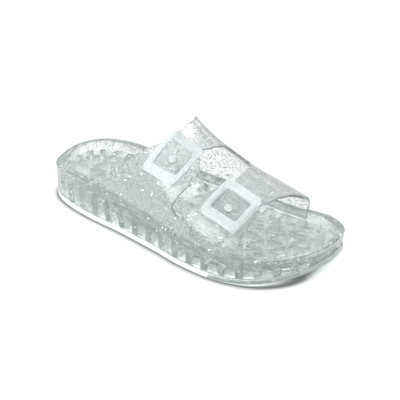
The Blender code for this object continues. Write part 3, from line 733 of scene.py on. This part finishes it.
def flake_tree():
    tree = bpy.data.node_groups.new("flakes", "GeometryNodeTree")
    for name, kind in [("Skin", "Geometry"), ("Density", "Float"), ("Deepest", "Float"),
                       ("Seed", "Int"), ("Material", "Material")]:
        tree.interface.new_socket(name, in_out="INPUT", socket_type="NodeSocket" + kind)
    tree.interface.new_socket("Flakes", in_out="OUTPUT", socket_type="NodeSocketGeometry")
    given = add_node(tree, "NodeGroupInput")
    result = add_node(tree, "NodeGroupOutput")
    sunk = sink_points(tree, given, scatter_on_skin(tree, given))

    flake = add_node(tree, "GeometryNodeMeshCircle",
                     {"Vertices": FLAKE_CORNERS, "Radius": FLAKE_RADIUS}, fill_type="NGON")
    turns = add_node(tree, "FunctionNodeRandomValue", {1: (math.tau, math.tau, math.tau)},
                     data_type="FLOAT_VECTOR")
    sizes = add_node(tree, "FunctionNodeRandomValue", {
        2: FLAKE_SIZES[0], 3: FLAKE_SIZES[1], "Seed": FLAKE_SIZE_SEED}, data_type="FLOAT")
    place = add_node(tree, "GeometryNodeInstanceOnPoints")
    real = add_node(tree, "GeometryNodeRealizeInstances")
    paint = add_node(tree, "GeometryNodeSetMaterial")
    join(sunk, "Geometry", place, "Points")
    join(flake, "Mesh", place, "Instance")
    join(turns, 0, place, "Rotation")
    join(sizes, 1, place, "Scale")
    join(place, "Instances", real, "Geometry")
    join(real, "Geometry", paint, "Geometry")
    join(given, "Material", paint, "Material")
    join(paint, "Geometry", result, "Flakes")
    return tree


flakes = flake_tree()
print("flake tree:", len(flakes.nodes), "nodes")

# %% Glitter for one piece
FLAKES_PER_AREA = 520000.0


def add_glitter(name, host, deepest, seed):
    """Flakes under the skin of a finished piece, as a plain mesh of their own."""
    piece = add_object(name, host.data.copy())
    scatter = add_modifier(piece, "flakes", "NODES", node_group=flakes)
    given = {"Density": FLAKES_PER_AREA, "Deepest": deepest, "Seed": seed,
             "Material": silver_flakes}
    for item in flakes.interface.items_tree:
        if item.name in given:
            scatter[item.identifier] = given[item.name]
    piece.update_tag()
    bake(piece)
    return piece


# %% [markdown]
# ## Cells under the footbed
#
# To save plastic and weight the sole is open underneath: a ring of cells behind the windows, and
# a lattice of triangles inside it. From above they show through the footbed as bright facets.
# Each cell is a prism whose roof follows the footbed, and a boolean takes them all out at once.

# %% Cells behind the windows
WALL = 0.0035
SKIN = 0.0032
RING_CELL = 0.0100
SHALLOWEST_CELL = 0.0025


def cell_roof(x, y):
    return footbed(x, y) - SKIN


def add_prism(points, faces, corners, low, high):
    start, n = len(points), len(corners)
    points += [(x, y, float(height(x, y))) for height in (low, high) for x, y in corners]
    faces += [tuple(range(start, start + n)), tuple(range(start + n, start + 2 * n))]
    faces += [(start + i, start + (i + 1) % n, start + n + (i + 1) % n, start + n + i)
              for i in range(n)]


def below_sole(x, y):
    return sole_bottom(x) - OUTSOLE / 2


cell_points, cell_faces = [], []
for i in range(rib_count):
    start = i * pitch + RIB / 2 + RIB_FLANK
    end = (i + 1) * pitch - RIB / 2 - RIB_FLANK
    places = [(start, WALL), (end, WALL), (end, WALL + RING_CELL), (start, WALL + RING_CELL)]
    corners = [tuple(inside_outline(at, inset)) for at, inset in places]
    x, y = on_outline((start + end) / 2)
    roof = min(window_top(x, y), min(cell_roof(*corner) for corner in corners))
    if roof - sole_bottom(x) > SHALLOWEST_CELL:
        add_prism(cell_points, cell_faces, corners, below_sole, lambda px, py: roof)
print("cells behind the windows:", len(cell_faces) // 6)

# %% The lattice of triangles
TRIANGLE = 0.0190
TRIANGLE_RIB = 0.0028
SMALLEST_CELL = 0.1 * TRIANGLE ** 2
PULL_IN = 0.04

edge = WALL + RING_CELL + TRIANGLE_RIB
row_height = TRIANGLE * math.sqrt(3) / 2
share_inside = 1 - TRIANGLE_RIB / 2 / (TRIANGLE / (2 * math.sqrt(3)))
row_reach = math.ceil(SOLE_WIDTH / row_height / 2)
for row in range(-row_reach, row_reach):
    for place in range(2 * math.ceil(SOLE_LENGTH / TRIANGLE) + 2):
        low, high = row * row_height, (row + 1) * row_height
        left = (place - 1) * TRIANGLE / 2
        base, tip = (low, high) if (place + row) % 2 == 0 else (high, low)
        corners = np.array([(left, base), (left + TRIANGLE, base), (left + TRIANGLE / 2, tip)])
        centre = corners.mean(axis=0)
        if not is_inside(*centre, edge):
            continue
        slid = []
        for corner in corners:
            reach = share_inside
            while not is_inside(*(centre + reach * (corner - centre)), edge):
                reach -= PULL_IN
            slid.append(tuple(centre + reach * (corner - centre)))
        (ax, ay), (bx, by), (cx, cy) = slid
        area = abs((bx - ax) * (cy - ay) - (cx - ax) * (by - ay)) / 2
        depth = min(cell_roof(x, y) - sole_bottom(x) for x, y in slid)
        if area > SMALLEST_CELL and depth > SHALLOWEST_CELL:
            add_prism(cell_points, cell_faces, slid, below_sole, cell_roof)
cells = new_piece("cells", cell_points, cell_faces)
print("faces of all cells:", len(cells.data.polygons))

# %% The cells taken out, and the sole's glitter
CELL_ROUND = 0.00025
SOLE_GLITTER_DEPTH = 0.0026
SOLE_GLITTER_SEED = 3

add_modifier(cells, "soft edges", "BEVEL", width=CELL_ROUND, segments=2, limit_method="NONE")
bake(cells)
glitter = add_glitter("glitter_in_sole", sole, SOLE_GLITTER_DEPTH, SOLE_GLITTER_SEED)
done(glitter, "clear_jelly")
cut(sole, cells)

# %% [markdown]
# ## The upper's rules
#
# Over the foot the upper is one arch from rim to rim, squarer on the inner side. A turn of 0 is
# the inner rim and 1 the outer rim. Tables give the edges of the panels and straps at each turn,
# and the wall goes inwards from this outer face.

# %% Tables of the upper
UPPER_WALL = 0.0024
SEAT_DEPTH = 0.0080
INSTEP = 0.0955
CREST_SIDE = 0.0092
ROUND_INNER = 2.56
ROUND_OUTER = 2.00
CREST = [(0.262, 1.484), (0.469, 1.000), (0.586, 0.748), (0.703, 0.603), (0.840, 0.468)]
INNER_EDGES = [
    # turn, rear, opening's rear, opening's front, front
    (0.000, 0.452, 0.610, 0.632, 0.836),
    (0.120, 0.455, 0.608, 0.632, 0.840),
    (0.240, 0.461, 0.606, 0.634, 0.840),
    (0.335, 0.470, 0.601, 0.640, 0.835),
    (0.350, 0.472, 0.588, 0.653, 0.833),
    (0.375, 0.475, 0.580, 0.662, 0.828),
    (0.420, 0.481, 0.576, 0.669, 0.818),
    (0.470, 0.488, 0.571, 0.673, 0.810),
    (0.510, 0.486, 0.567, 0.676, 0.803),
]
OUTER_EDGES = [
    # turn, rear, opening's rear, opening's front, front
    (0.605, 0.482, 0.566, 0.662, 0.778),
    (0.635, 0.476, 0.578, 0.652, 0.783),
    (0.670, 0.468, 0.587, 0.644, 0.786),
    (0.700, 0.459, 0.586, 0.638, 0.787),
    (0.730, 0.447, 0.581, 0.633, 0.788),
    (0.764, 0.431, 0.573, 0.628, 0.788),
    (0.790, 0.418, 0.568, 0.624, 0.788),
    (0.817, 0.402, 0.563, 0.619, 0.787),
    (0.840, 0.388, 0.558, 0.614, 0.786),
    (0.862, 0.375, 0.554, 0.608, 0.786),
    (0.880, 0.363, 0.554, 0.602, 0.785),
    (0.893, 0.354, 0.561, 0.594, 0.784),
    (0.902, 0.347, 0.573, 0.583, 0.784),
    (0.925, 0.326, 0.573, 0.583, 0.783),
    (0.950, 0.304, 0.573, 0.583, 0.782),
    (0.975, 0.284, 0.573, 0.583, 0.781),
    (1.000, 0.263, 0.573, 0.583, 0.780),
]
OPENING = (0.333, 0.904)
crest_shares, crest_heights = np.array(CREST).T
crest_curve = np.polyfit(crest_shares * SOLE_LENGTH, INSTEP * crest_heights, len(CREST) - 1)
print("opening between turns:", OPENING)

# %% Points on the upper
TURN_STEP = 0.004
ALONG_STEP = 0.001


def arch(x, turn):
    """Points of the upper's outer face."""
    x, turn = np.broadcast_arrays(np.asarray(x, dtype=float), np.asarray(turn, dtype=float))
    angle = math.pi * np.clip(turn, 0.0, 1.0)
    inner = angle < math.pi / 2
    rim_y = np.where(inner, side_of_sole(x, True), side_of_sole(x, False))
    base = rim_height(x, rim_y)
    power = np.where(inner, 2 / ROUND_INNER, 2 / ROUND_OUTER)
    y = CREST_SIDE + (rim_y - CREST_SIDE) * np.abs(np.cos(angle)) ** power
    rise = np.polyval(crest_curve, x) - base
    past = np.maximum(np.maximum(-turn, turn - 1.0), 0.0)
    z = base + rise * (np.maximum(np.sin(angle), 0.0) ** power - math.pi * past)
    return np.stack([x, y, z], axis=-1)


def outward(x, turn):
    before, after = np.maximum(turn - TURN_STEP, 0.0), np.minimum(turn + TURN_STEP, 1.0)
    over = arch(x, after) - arch(x, before)
    along = arch(x + ALONG_STEP, turn) - arch(x - ALONG_STEP, turn)
    normal = np.cross(over, along)
    return normal / np.linalg.norm(normal, axis=-1, keepdims=True)


def on_arch(x, turn, lift=0.0):
    return arch(x, turn) + np.asarray(lift)[..., None] * outward(x, turn)


def margin(x, inner, drop, inset=0.0):
    """The upper's lower margin, which stands in a rebate of the sole's rim."""
    rim_y = side_of_sole(x, inner)
    slope = (side_of_sole(x + NEAR, inner) - side_of_sole(x - NEAR, inner)) / (2 * NEAR)
    inward = np.stack([slope, -np.ones_like(slope)], axis=-1) * (1 if inner else -1)
    inward /= np.linalg.norm(inward, axis=-1, keepdims=True)
    top = rim_height(x, rim_y)
    lean = DRAFT * max(drop, 0.0) / (top - sole_bottom(x))
    plan = np.stack([x, rim_y], axis=-1) + inward * (inset + lean)[..., None]
    return np.column_stack([plan, top - drop])


# %% [markdown]
# ## The rebate for the upper
#
# The upper's margin is set into the side of the rim, flush with it. A cutter for each side is
# swept along the margin, a little larger than the wall that stands in it.

# %% The rebate for the upper
MARGIN_STEPS = 60

for inner in (True, False):
    row = (INNER_EDGES[0] if inner else OUTER_EDGES[-1])[1:]
    x = np.linspace(row[0] * SOLE_LENGTH - PLAY, row[-1] * SOLE_LENGTH + PLAY, MARGIN_STEPS)
    rows = [margin(x, inner, SEAT_DEPTH + PLAY, -UPPER_WALL),
            margin(x, inner, SEAT_DEPTH + PLAY, UPPER_WALL + PLAY),
            margin(x, inner, -RIM_STEP, UPPER_WALL + PLAY),
            margin(x, inner, -RIM_STEP, -UPPER_WALL)]
    sections = np.stack(rows, axis=1)
    cut(sole, new_piece("rebate", sections.reshape(-1, 3), tube_faces(sections)))
done(sole, "clear_jelly", "sole_unit")

# %% [markdown]
# ## The outsole
#
# A clear plate closes the cells. Its edge is the bright band along the floor. Straight grooves
# across it are the tread.

# %% The outsole
OUTSOLE_ROUND = 0.0006
GROOVE = 0.0024
GROOVE_DEPTH = 0.0012
GROOVE_PITCH = 0.0160
TREAD_BORDER = 0.0090
ROUND_STEPS = 4


def plate_ring(height, inset):
    return inset_ring(DRAFT / 2 + inset, spring(edge_x) + height)


rings = [plate_ring(OUTSOLE_ROUND * (1 - math.sin(a)), OUTSOLE_ROUND * (1 - math.cos(a)))
         for a in np.linspace(math.pi / 2, 0, ROUND_STEPS)]
rings.append(plate_ring(OUTSOLE - OUTSOLE_ROUND / 2, 0.0))
rings.append(plate_ring(OUTSOLE, OUTSOLE_ROUND / 2))
points = list(np.vstack(rings))
faces = ring_faces(rings)
close_across(points, faces, 0, count, lambda x, y: spring(x), 1)
close_across(points, faces, (len(rings) - 1) * count, count, lambda x, y: spring(x) + OUTSOLE, 1)
outsole = new_piece("outsole_plate", points, faces, clear_plate)
print("plate:", len(outsole.data.polygons), "faces")

# %% The tread
groove_points, groove_faces = [], []
for x in np.arange(GROOVE_PITCH, SOLE_LENGTH - GROOVE_PITCH / 2, GROOVE_PITCH):
    inner = side_of_sole(x, True) - TREAD_BORDER
    outer = side_of_sole(x, False) + TREAD_BORDER
    rear, front = x - GROOVE / 2, x + GROOVE / 2
    corners = [(rear, outer), (front, outer), (front, inner), (rear, inner)]
    add_prism(groove_points, groove_faces, corners,
              lambda px, py: spring(px) - GROOVE_DEPTH,
              lambda px, py: spring(px) + GROOVE_DEPTH)
cut(outsole, new_piece("grooves", groove_points, groove_faces))
done(outsole, "clear_jelly", "outsole")

# %% [markdown]
# ## Buckles' places and the straps through them
#
# A buckle lies on the arch like a stamp on a barrel. A patch holds its place: a runs along the
# foot and b down the outer side, and a few corrected guesses find the point of the arch under
# (a, b). The straps, buckles and studs are all laid out in these patches.

# %% Sizes of the buckles and straps
BUCKLE_LENGTH = 0.0352
BUCKLE_THICKNESS = 0.0034
BUCKLE_CORNER = 0.0045
WINDOW_CORNER = 0.0020
SIDE_BAR = 0.0040
CROSS_BAR = 0.0071
LAYER_GAP = PLAY + 0.0001
STRAP_STEP = UPPER_WALL + LAYER_GAP
BUCKLE_FOOT = LAYER_GAP + 0.0002
BUCKLE_TOP = STRAP_STEP + LAYER_GAP + BUCKLE_THICKNESS
REAR_STRAP = [
    # down from the buckle's middle, rear edge, front edge
    (-0.60, 1.03, 1.30), (-0.52, 1.01, 1.14), (-0.45, 1.00, 1.00), (-0.28, 1.00, 1.00),
    (-0.10, 1.00, 1.00), (0.10, 1.00, 1.00), (0.28, 1.00, 1.00), (0.42, 0.96, 0.96),
    (0.47, 0.74, 0.74),
]
FRONT_STRAP = [
    # down from the buckle's middle, rear edge, front edge
    (-0.60, 1.02, 1.58), (-0.45, 1.00, 1.36), (-0.28, 1.00, 1.06), (-0.10, 1.00, 1.00),
    (0.10, 1.00, 1.00), (0.28, 1.00, 1.00), (0.45, 1.04, 1.00), (0.58, 1.16, 1.02),
    (0.71, 1.26, 0.98), (0.82, 1.22, 0.86), (0.88, 1.04, 0.70), (0.91, 0.76, 0.50),
]


# %% Buckles' places
GUESSES = 8
DOWN_STEP = 0.01
SEARCH_STEPS = (0.001, 0.002)


class Patch:
    def __init__(self, along, turn, twist, stud, strap, strap_width):
        self.stud = stud * BUCKLE_LENGTH
        self.strap, self.strap_width = strap, strap_width
        self.place = np.array([along * SOLE_LENGTH, turn])
        self.centre = arch(*self.place)
        self.normal = outward(*self.place)
        down = arch(self.place[0], turn + DOWN_STEP) - self.centre
        b = down - (down @ self.normal) * self.normal
        b /= np.linalg.norm(b)
        a = np.cross(b, self.normal)
        a *= math.copysign(1.0, a[0])
        swing = math.radians(twist)
        self.a = a * math.cos(swing) + b * math.sin(swing)
        self.b = b * math.cos(swing) - a * math.sin(swing)

    def flat(self, x, turn):
        away = arch(x, turn) - self.centre
        return np.stack([away @ self.a, away @ self.b], axis=-1)

    def under(self, a, b):
        """Where on the arch the points (a, b) lie."""
        goal = np.stack(np.broadcast_arrays(a, b), axis=-1)
        x = np.full(goal.shape[:-1], self.place[0])
        turn = np.full(goal.shape[:-1], self.place[1])
        step, turn_step = SEARCH_STEPS
        for _ in range(GUESSES):
            now = self.flat(x, turn)
            by_x = (self.flat(x + step, turn) - now) / step
            by_turn = (self.flat(x, turn + turn_step) - now) / turn_step
            miss = goal - now
            area = by_x[..., 0] * by_turn[..., 1] - by_x[..., 1] * by_turn[..., 0]
            x = x + (miss[..., 0] * by_turn[..., 1] - miss[..., 1] * by_turn[..., 0]) / area
            turn = turn + (by_x[..., 0] * miss[..., 1] - by_x[..., 1] * miss[..., 0]) / area
        return x, turn

    def point(self, a, b, lift):
        return on_arch(*self.under(a, b), lift)

    def across(self, down, count, widen=0.0, least=0.0):
        """Places along the foot from edge to edge of the strap, at down."""
        half = self.strap_width / 2
        rear = max(float(steady(self.strap, 1, down)), least)
        front = max(float(steady(self.strap, 2, down)), least)
        return np.linspace(-half * rear - widen, half * front + widen, count)


patches = {
    # share of the length, turn, twist, the stud's share, table of the strap, its width
    "rear": Patch(0.507, 0.705, 12.0, 0.04, REAR_STRAP, 0.0205),
    "front": Patch(0.715, 0.693, 7.0, 0.09, FRONT_STRAP, 0.0238),
}
for name, patch in patches.items():
    print(name, "buckle's middle in mm:", in_mm(patch.centre))

# %% [markdown]
# ## The panels and straps
#
# Rows of points run over the arch from the inner margin. Where the opening lies, the columns
# between the bands carry no faces. The two bands then go on as the straps, down through their
# buckles. A Solidify modifier gives the wall its thickness, inwards, and a small bevel takes the
# sharpness off every edge, as a mould does.

# %% How a panel is made
REAR_COLUMNS = 22
GAP_COLUMNS = 6
FRONT_COLUMNS = 30
STRAP_RISE = (0.45, 0.56)
EDGE_ROUND = 0.0006
SHARP_EDGE = 50


def strap_lift(turn):
    return STRAP_STEP * ease((turn - STRAP_RISE[0]) / (STRAP_RISE[1] - STRAP_RISE[0]))


def columns(table, turn):
    """Places along the foot across one row: rear band, the gap between, front band."""
    rear, gap_rear, gap_front, front = (float(steady(table, k, turn)) for k in (1, 2, 3, 4))
    return SOLE_LENGTH * np.concatenate([
        np.linspace(rear, gap_rear, REAR_COLUMNS + 1),
        np.linspace(gap_rear, gap_front, GAP_COLUMNS + 1)[1:-1],
        np.linspace(gap_front, front, FRONT_COLUMNS + 1),
    ])


def panel_faces(rows, is_open):
    """Quads between the rows, but none in the gap where a row is open."""
    steps = len(rows[0]) - 1
    return [face for i, face in enumerate(ring_faces(rows, closed=False))
            if not (is_open(i // steps)
                    and REAR_COLUMNS <= i % steps < REAR_COLUMNS + GAP_COLUMNS)]


def sheet(name, points, faces, material, inward):
    """A panel from its outer face: the wall goes inwards and its edges are rounded."""
    piece = new_piece(name, points, faces, material)
    mesh = bmesh.new()
    mesh.from_mesh(piece.data)
    leaning = sum(f.normal.dot(f.calc_center_median() - inward) for f in mesh.faces)
    if leaning < 0:
        bmesh.ops.reverse_faces(mesh, faces=mesh.faces)
    loose = [v for v in mesh.verts if not v.link_faces]
    bmesh.ops.delete(mesh, geom=loose, context="VERTS")
    mesh.to_mesh(piece.data)
    mesh.free()
    add_modifier(piece, "wall", "SOLIDIFY", thickness=UPPER_WALL, offset=-1, use_even_offset=True)
    add_modifier(piece, "edges", "BEVEL", width=EDGE_ROUND, segments=2, limit_method="ANGLE",
                 angle_limit=math.radians(SHARP_EDGE))
    bake(piece)
    return piece


# %% The inner panel
FOOT_MIDDLE = Vector((0.15, 0.0, 0.02))
PAST_OPENING = np.array([0.0, 0.002, 0.004, 0.007, 0.012])
INNER_ROWS, OUTER_ROWS, SEAT_ROWS = 46, 42, 6

inner_turns = np.unique(np.concatenate([
    np.linspace(0.0, INNER_EDGES[-1][0], INNER_ROWS), OPENING[0] + PAST_OPENING]))
first = columns(INNER_EDGES, 0.0)
rows = [margin(first, True, drop) for drop in np.linspace(SEAT_DEPTH, 0.0, SEAT_ROWS)[:-1]]
opening_row = len(rows) + int(np.searchsorted(inner_turns, OPENING[0]))
rows += [on_arch(columns(INNER_EDGES, turn), turn, strap_lift(turn)) for turn in inner_turns]
points = list(np.vstack(rows))
faces = panel_faces(rows, lambda row: row >= opening_row)
print("inner panel:", len(rows), "rows of", len(first), "points")

# %% The straps
STRAP_START = -0.60
STRAP_ROW = 0.025
TIP_SHARE, TIP_ROWS, TIP_CROWDING = 0.08, 9, 1.5
BRIDGE_STEPS = 5

strap_ends = {"rear": slice(0, REAR_COLUMNS + 1),
              "front": slice(REAR_COLUMNS + GAP_COLUMNS, None)}
strap_rows = {}
for name, patch in patches.items():
    part_of_row = strap_ends[name]
    start = rows[-1][part_of_row]
    end_down = patch.strap[-1][0]
    downs = list(np.arange(STRAP_START, end_down - TIP_SHARE, STRAP_ROW))
    downs += list(end_down - TIP_SHARE * (1 - np.linspace(0, 1, TIP_ROWS)) ** TIP_CROWDING)
    run = [patch.point(patch.across(down, len(start)), down * BUCKLE_LENGTH, STRAP_STEP)
           for down in downs]
    bridge = [between(rows[-4][part_of_row], start, run[0], run[3], t)
              for t in np.arange(1, BRIDGE_STEPS) / BRIDGE_STEPS]
    strap_rows[name] = [start] + bridge + run
    at = len(points)
    points += list(np.vstack(strap_rows[name]))
    faces += [tuple(at + v for v in face) for face in ring_faces(strap_rows[name], closed=False)]
medial = sheet("upper_inner_side", points, faces, clear_jelly, FOOT_MIDDLE)
print("inner panel and straps:", len(medial.data.polygons), "faces")

# %% The outer panel
outer_turns = np.unique(np.concatenate([
    np.linspace(OUTER_EDGES[0][0], 1.0, OUTER_ROWS), OPENING[1] - PAST_OPENING]))
last = columns(OUTER_EDGES, 1.0)
rows = [on_arch(columns(OUTER_EDGES, turn), turn) for turn in outer_turns]
rows += [margin(last, False, drop) for drop in np.linspace(0.0, SEAT_DEPTH, SEAT_ROWS)[1:]]
opening_row = int(np.searchsorted(outer_turns, OPENING[1]))
faces = panel_faces(rows, lambda row: row < opening_row)
lateral = sheet("upper_outer_side", list(np.vstack(rows)), faces, clear_jelly, FOOT_MIDDLE)
print("outer panel:", len(lateral.data.polygons), "faces")

# %% [markdown]
# ## The buckles and their studs
#
# Each buckle is a frame bent to the arch, with soft edges all round. A copy of the strap's run, a
# little thicker and wider, is cut out of it, so that the strap goes under both cross bars. A
# stud with a low dome pins strap and root together in the window.

# %% A buckle's frame
BUCKLE_SOFT = 0.0011
SOFT_STEPS = 5
SIDE_STEPS = (10, 12)
CORNER_STEPS = 8


def rounded_loop(half_a, half_b, corner):
    """A rectangle with round corners, with points along its sides so that it can bend."""
    signs = [(1, 1), (-1, 1), (-1, -1), (1, -1)]

    def on_corner(n, degrees):
        angle = math.radians(degrees)
        centre = np.array(signs[n % 4]) * (half_a - corner, half_b - corner)
        return centre + corner * np.array([math.cos(angle), math.sin(angle)])

    loop = []
    for n in range(4):
        loop += [on_corner(n, 90 * n + 90 * k / CORNER_STEPS) for k in range(CORNER_STEPS + 1)]
        start, end, steps = loop[-1], on_corner(n + 1, 90 * (n + 1)), SIDE_STEPS[n % 2]
        loop += [start + (end - start) * k / steps for k in range(1, steps)]
    return np.array(loop)


def make_buckle(name, patch):
    window = patch.strap_width / 2 + PLAY
    half_a, half_b = window + SIDE_BAR, BUCKLE_LENGTH / 2
    soft, inner_b = BUCKLE_SOFT, half_b - CROSS_BAR
    profile = [(half_a, half_b, BUCKLE_CORNER, BUCKLE_FOOT)]
    soft_edge = [(soft * (1 - math.cos(angle)), soft * (1 - math.sin(angle)))
                 for angle in np.linspace(0, math.pi / 2, SOFT_STEPS)]
    for back, up in soft_edge:
        profile.append((half_a - back, half_b - back, BUCKLE_CORNER - back, BUCKLE_TOP - up))
    for back, up in soft_edge[::-1]:
        profile.append((window + back, inner_b + back, WINDOW_CORNER + back, BUCKLE_TOP - up))
    profile.append((window, inner_b, WINDOW_CORNER, BUCKLE_FOOT))
    rings = []
    for a, b, corner, lift in profile:
        loop = rounded_loop(a, b, corner)
        rings.append(patch.point(loop[:, 0], loop[:, 1], lift))
    rings.append(rings[0])
    return new_piece(name, np.vstack(rings), ring_faces(rings), frosted_buckle)


# %% The strap's way through a buckle
CHANNEL_TURNS = (0.47, 0.49, 0.51)
CHANNEL_END = 0.66
CHANNEL_STEP = 0.05


def strap_channel(name, patch):
    """The strap's run through its buckle, wider and thicker by the play."""
    count = len(strap_rows[name][0])
    low, high = [], []
    for turn in CHANNEL_TURNS:
        x = columns(INNER_EDGES, turn)[strap_ends[name]]
        x = np.linspace(x[0] - PLAY, x[-1] + PLAY, count)
        low.append(on_arch(x, turn, -UPPER_WALL))
        high.append(on_arch(x, turn, strap_lift(turn) + LAYER_GAP))
    for down in np.arange(STRAP_START, CHANNEL_END, CHANNEL_STEP):
        a = patch.across(down, count, PLAY, least=1.0)
        low.append(patch.point(a, down * BUCKLE_LENGTH, -UPPER_WALL))
        high.append(patch.point(a, down * BUCKLE_LENGTH, STRAP_STEP + LAYER_GAP))
    sections = [np.vstack([one, two[::-1]]) for one, two in zip(low, high)]
    return new_piece("channel", np.vstack(sections), tube_faces(sections))


# %% Studs and their holes
STUD_RADIUS = 0.0020
STUD_HEAD = 0.0033
STUD_DOME = 0.0016
DOME_ANGLES = (12, 30, 50, 70, 85)
STUD_SIDES = 40


def turned(name, profile, patch, material=None):
    """A turned shape standing in a buckle's window; its profile is radius and height."""
    place = patch.under(0.0, patch.stud)
    turn_up = Vector(outward(*place)).to_track_quat("Z", "Y").to_matrix().to_4x4()
    stand = Matrix.Translation(Vector(on_arch(*place))) @ turn_up
    angles = np.linspace(0, 2 * math.pi, STUD_SIDES, endpoint=False)
    rings = [np.column_stack([radius * np.cos(angles), radius * np.sin(angles),
                              np.full(STUD_SIDES, height)]) for radius, height in profile]
    points = [stand @ Vector(p) for p in np.vstack(rings)]
    return new_piece(name, points, tube_faces(rings), material)


# %% Both buckles and studs
hole = [(STUD_RADIUS + PLAY, end) for end in (-2 * UPPER_WALL, STRAP_STEP + 2 * UPPER_WALL)]
top = STRAP_STEP + PLAY
stud = [(STUD_RADIUS, -UPPER_WALL), (STUD_RADIUS, top), (STUD_HEAD, top)]
stud += [(STUD_HEAD * math.cos(a), top + STUD_DOME * math.sin(a)) for a in np.radians(DOME_ANGLES)]
for name, patch in patches.items():
    buckle = make_buckle(f"buckle_frame_{name}", patch)
    cut(buckle, strap_channel(name, patch))
    done(buckle, "frosted_buckle", f"buckle_{name}", smooth=40)
    for panel in (medial, lateral):
        cut(panel, turned("hole", hole, patch))
    done(turned(f"stud_peg_{name}", stud, patch, frosted_buckle),
         "frosted_buckle", f"stud_{name}", smooth=50)

# %% [markdown]
# The panels are done last, because the studs' holes go through them, and their glitter is
# strewn on the holed panels.

# %% The panels, with glitter
PANEL_GLITTER_DEPTH = 0.0012
PANEL_SEEDS = (11, 12)

for panel, seed in zip((medial, lateral), PANEL_SEEDS):
    glitter = add_glitter("glitter_in_" + panel.name, panel, PANEL_GLITTER_DEPTH, seed)
    done(glitter, "clear_jelly")
done(medial, "clear_jelly", "upper_medial", smooth=40)
done(lateral, "clear_jelly", "upper_lateral", smooth=40)

# %% The end
seen_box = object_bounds()
print("shown, in mm:", in_mm(high - low for low, high in zip(*seen_box)))
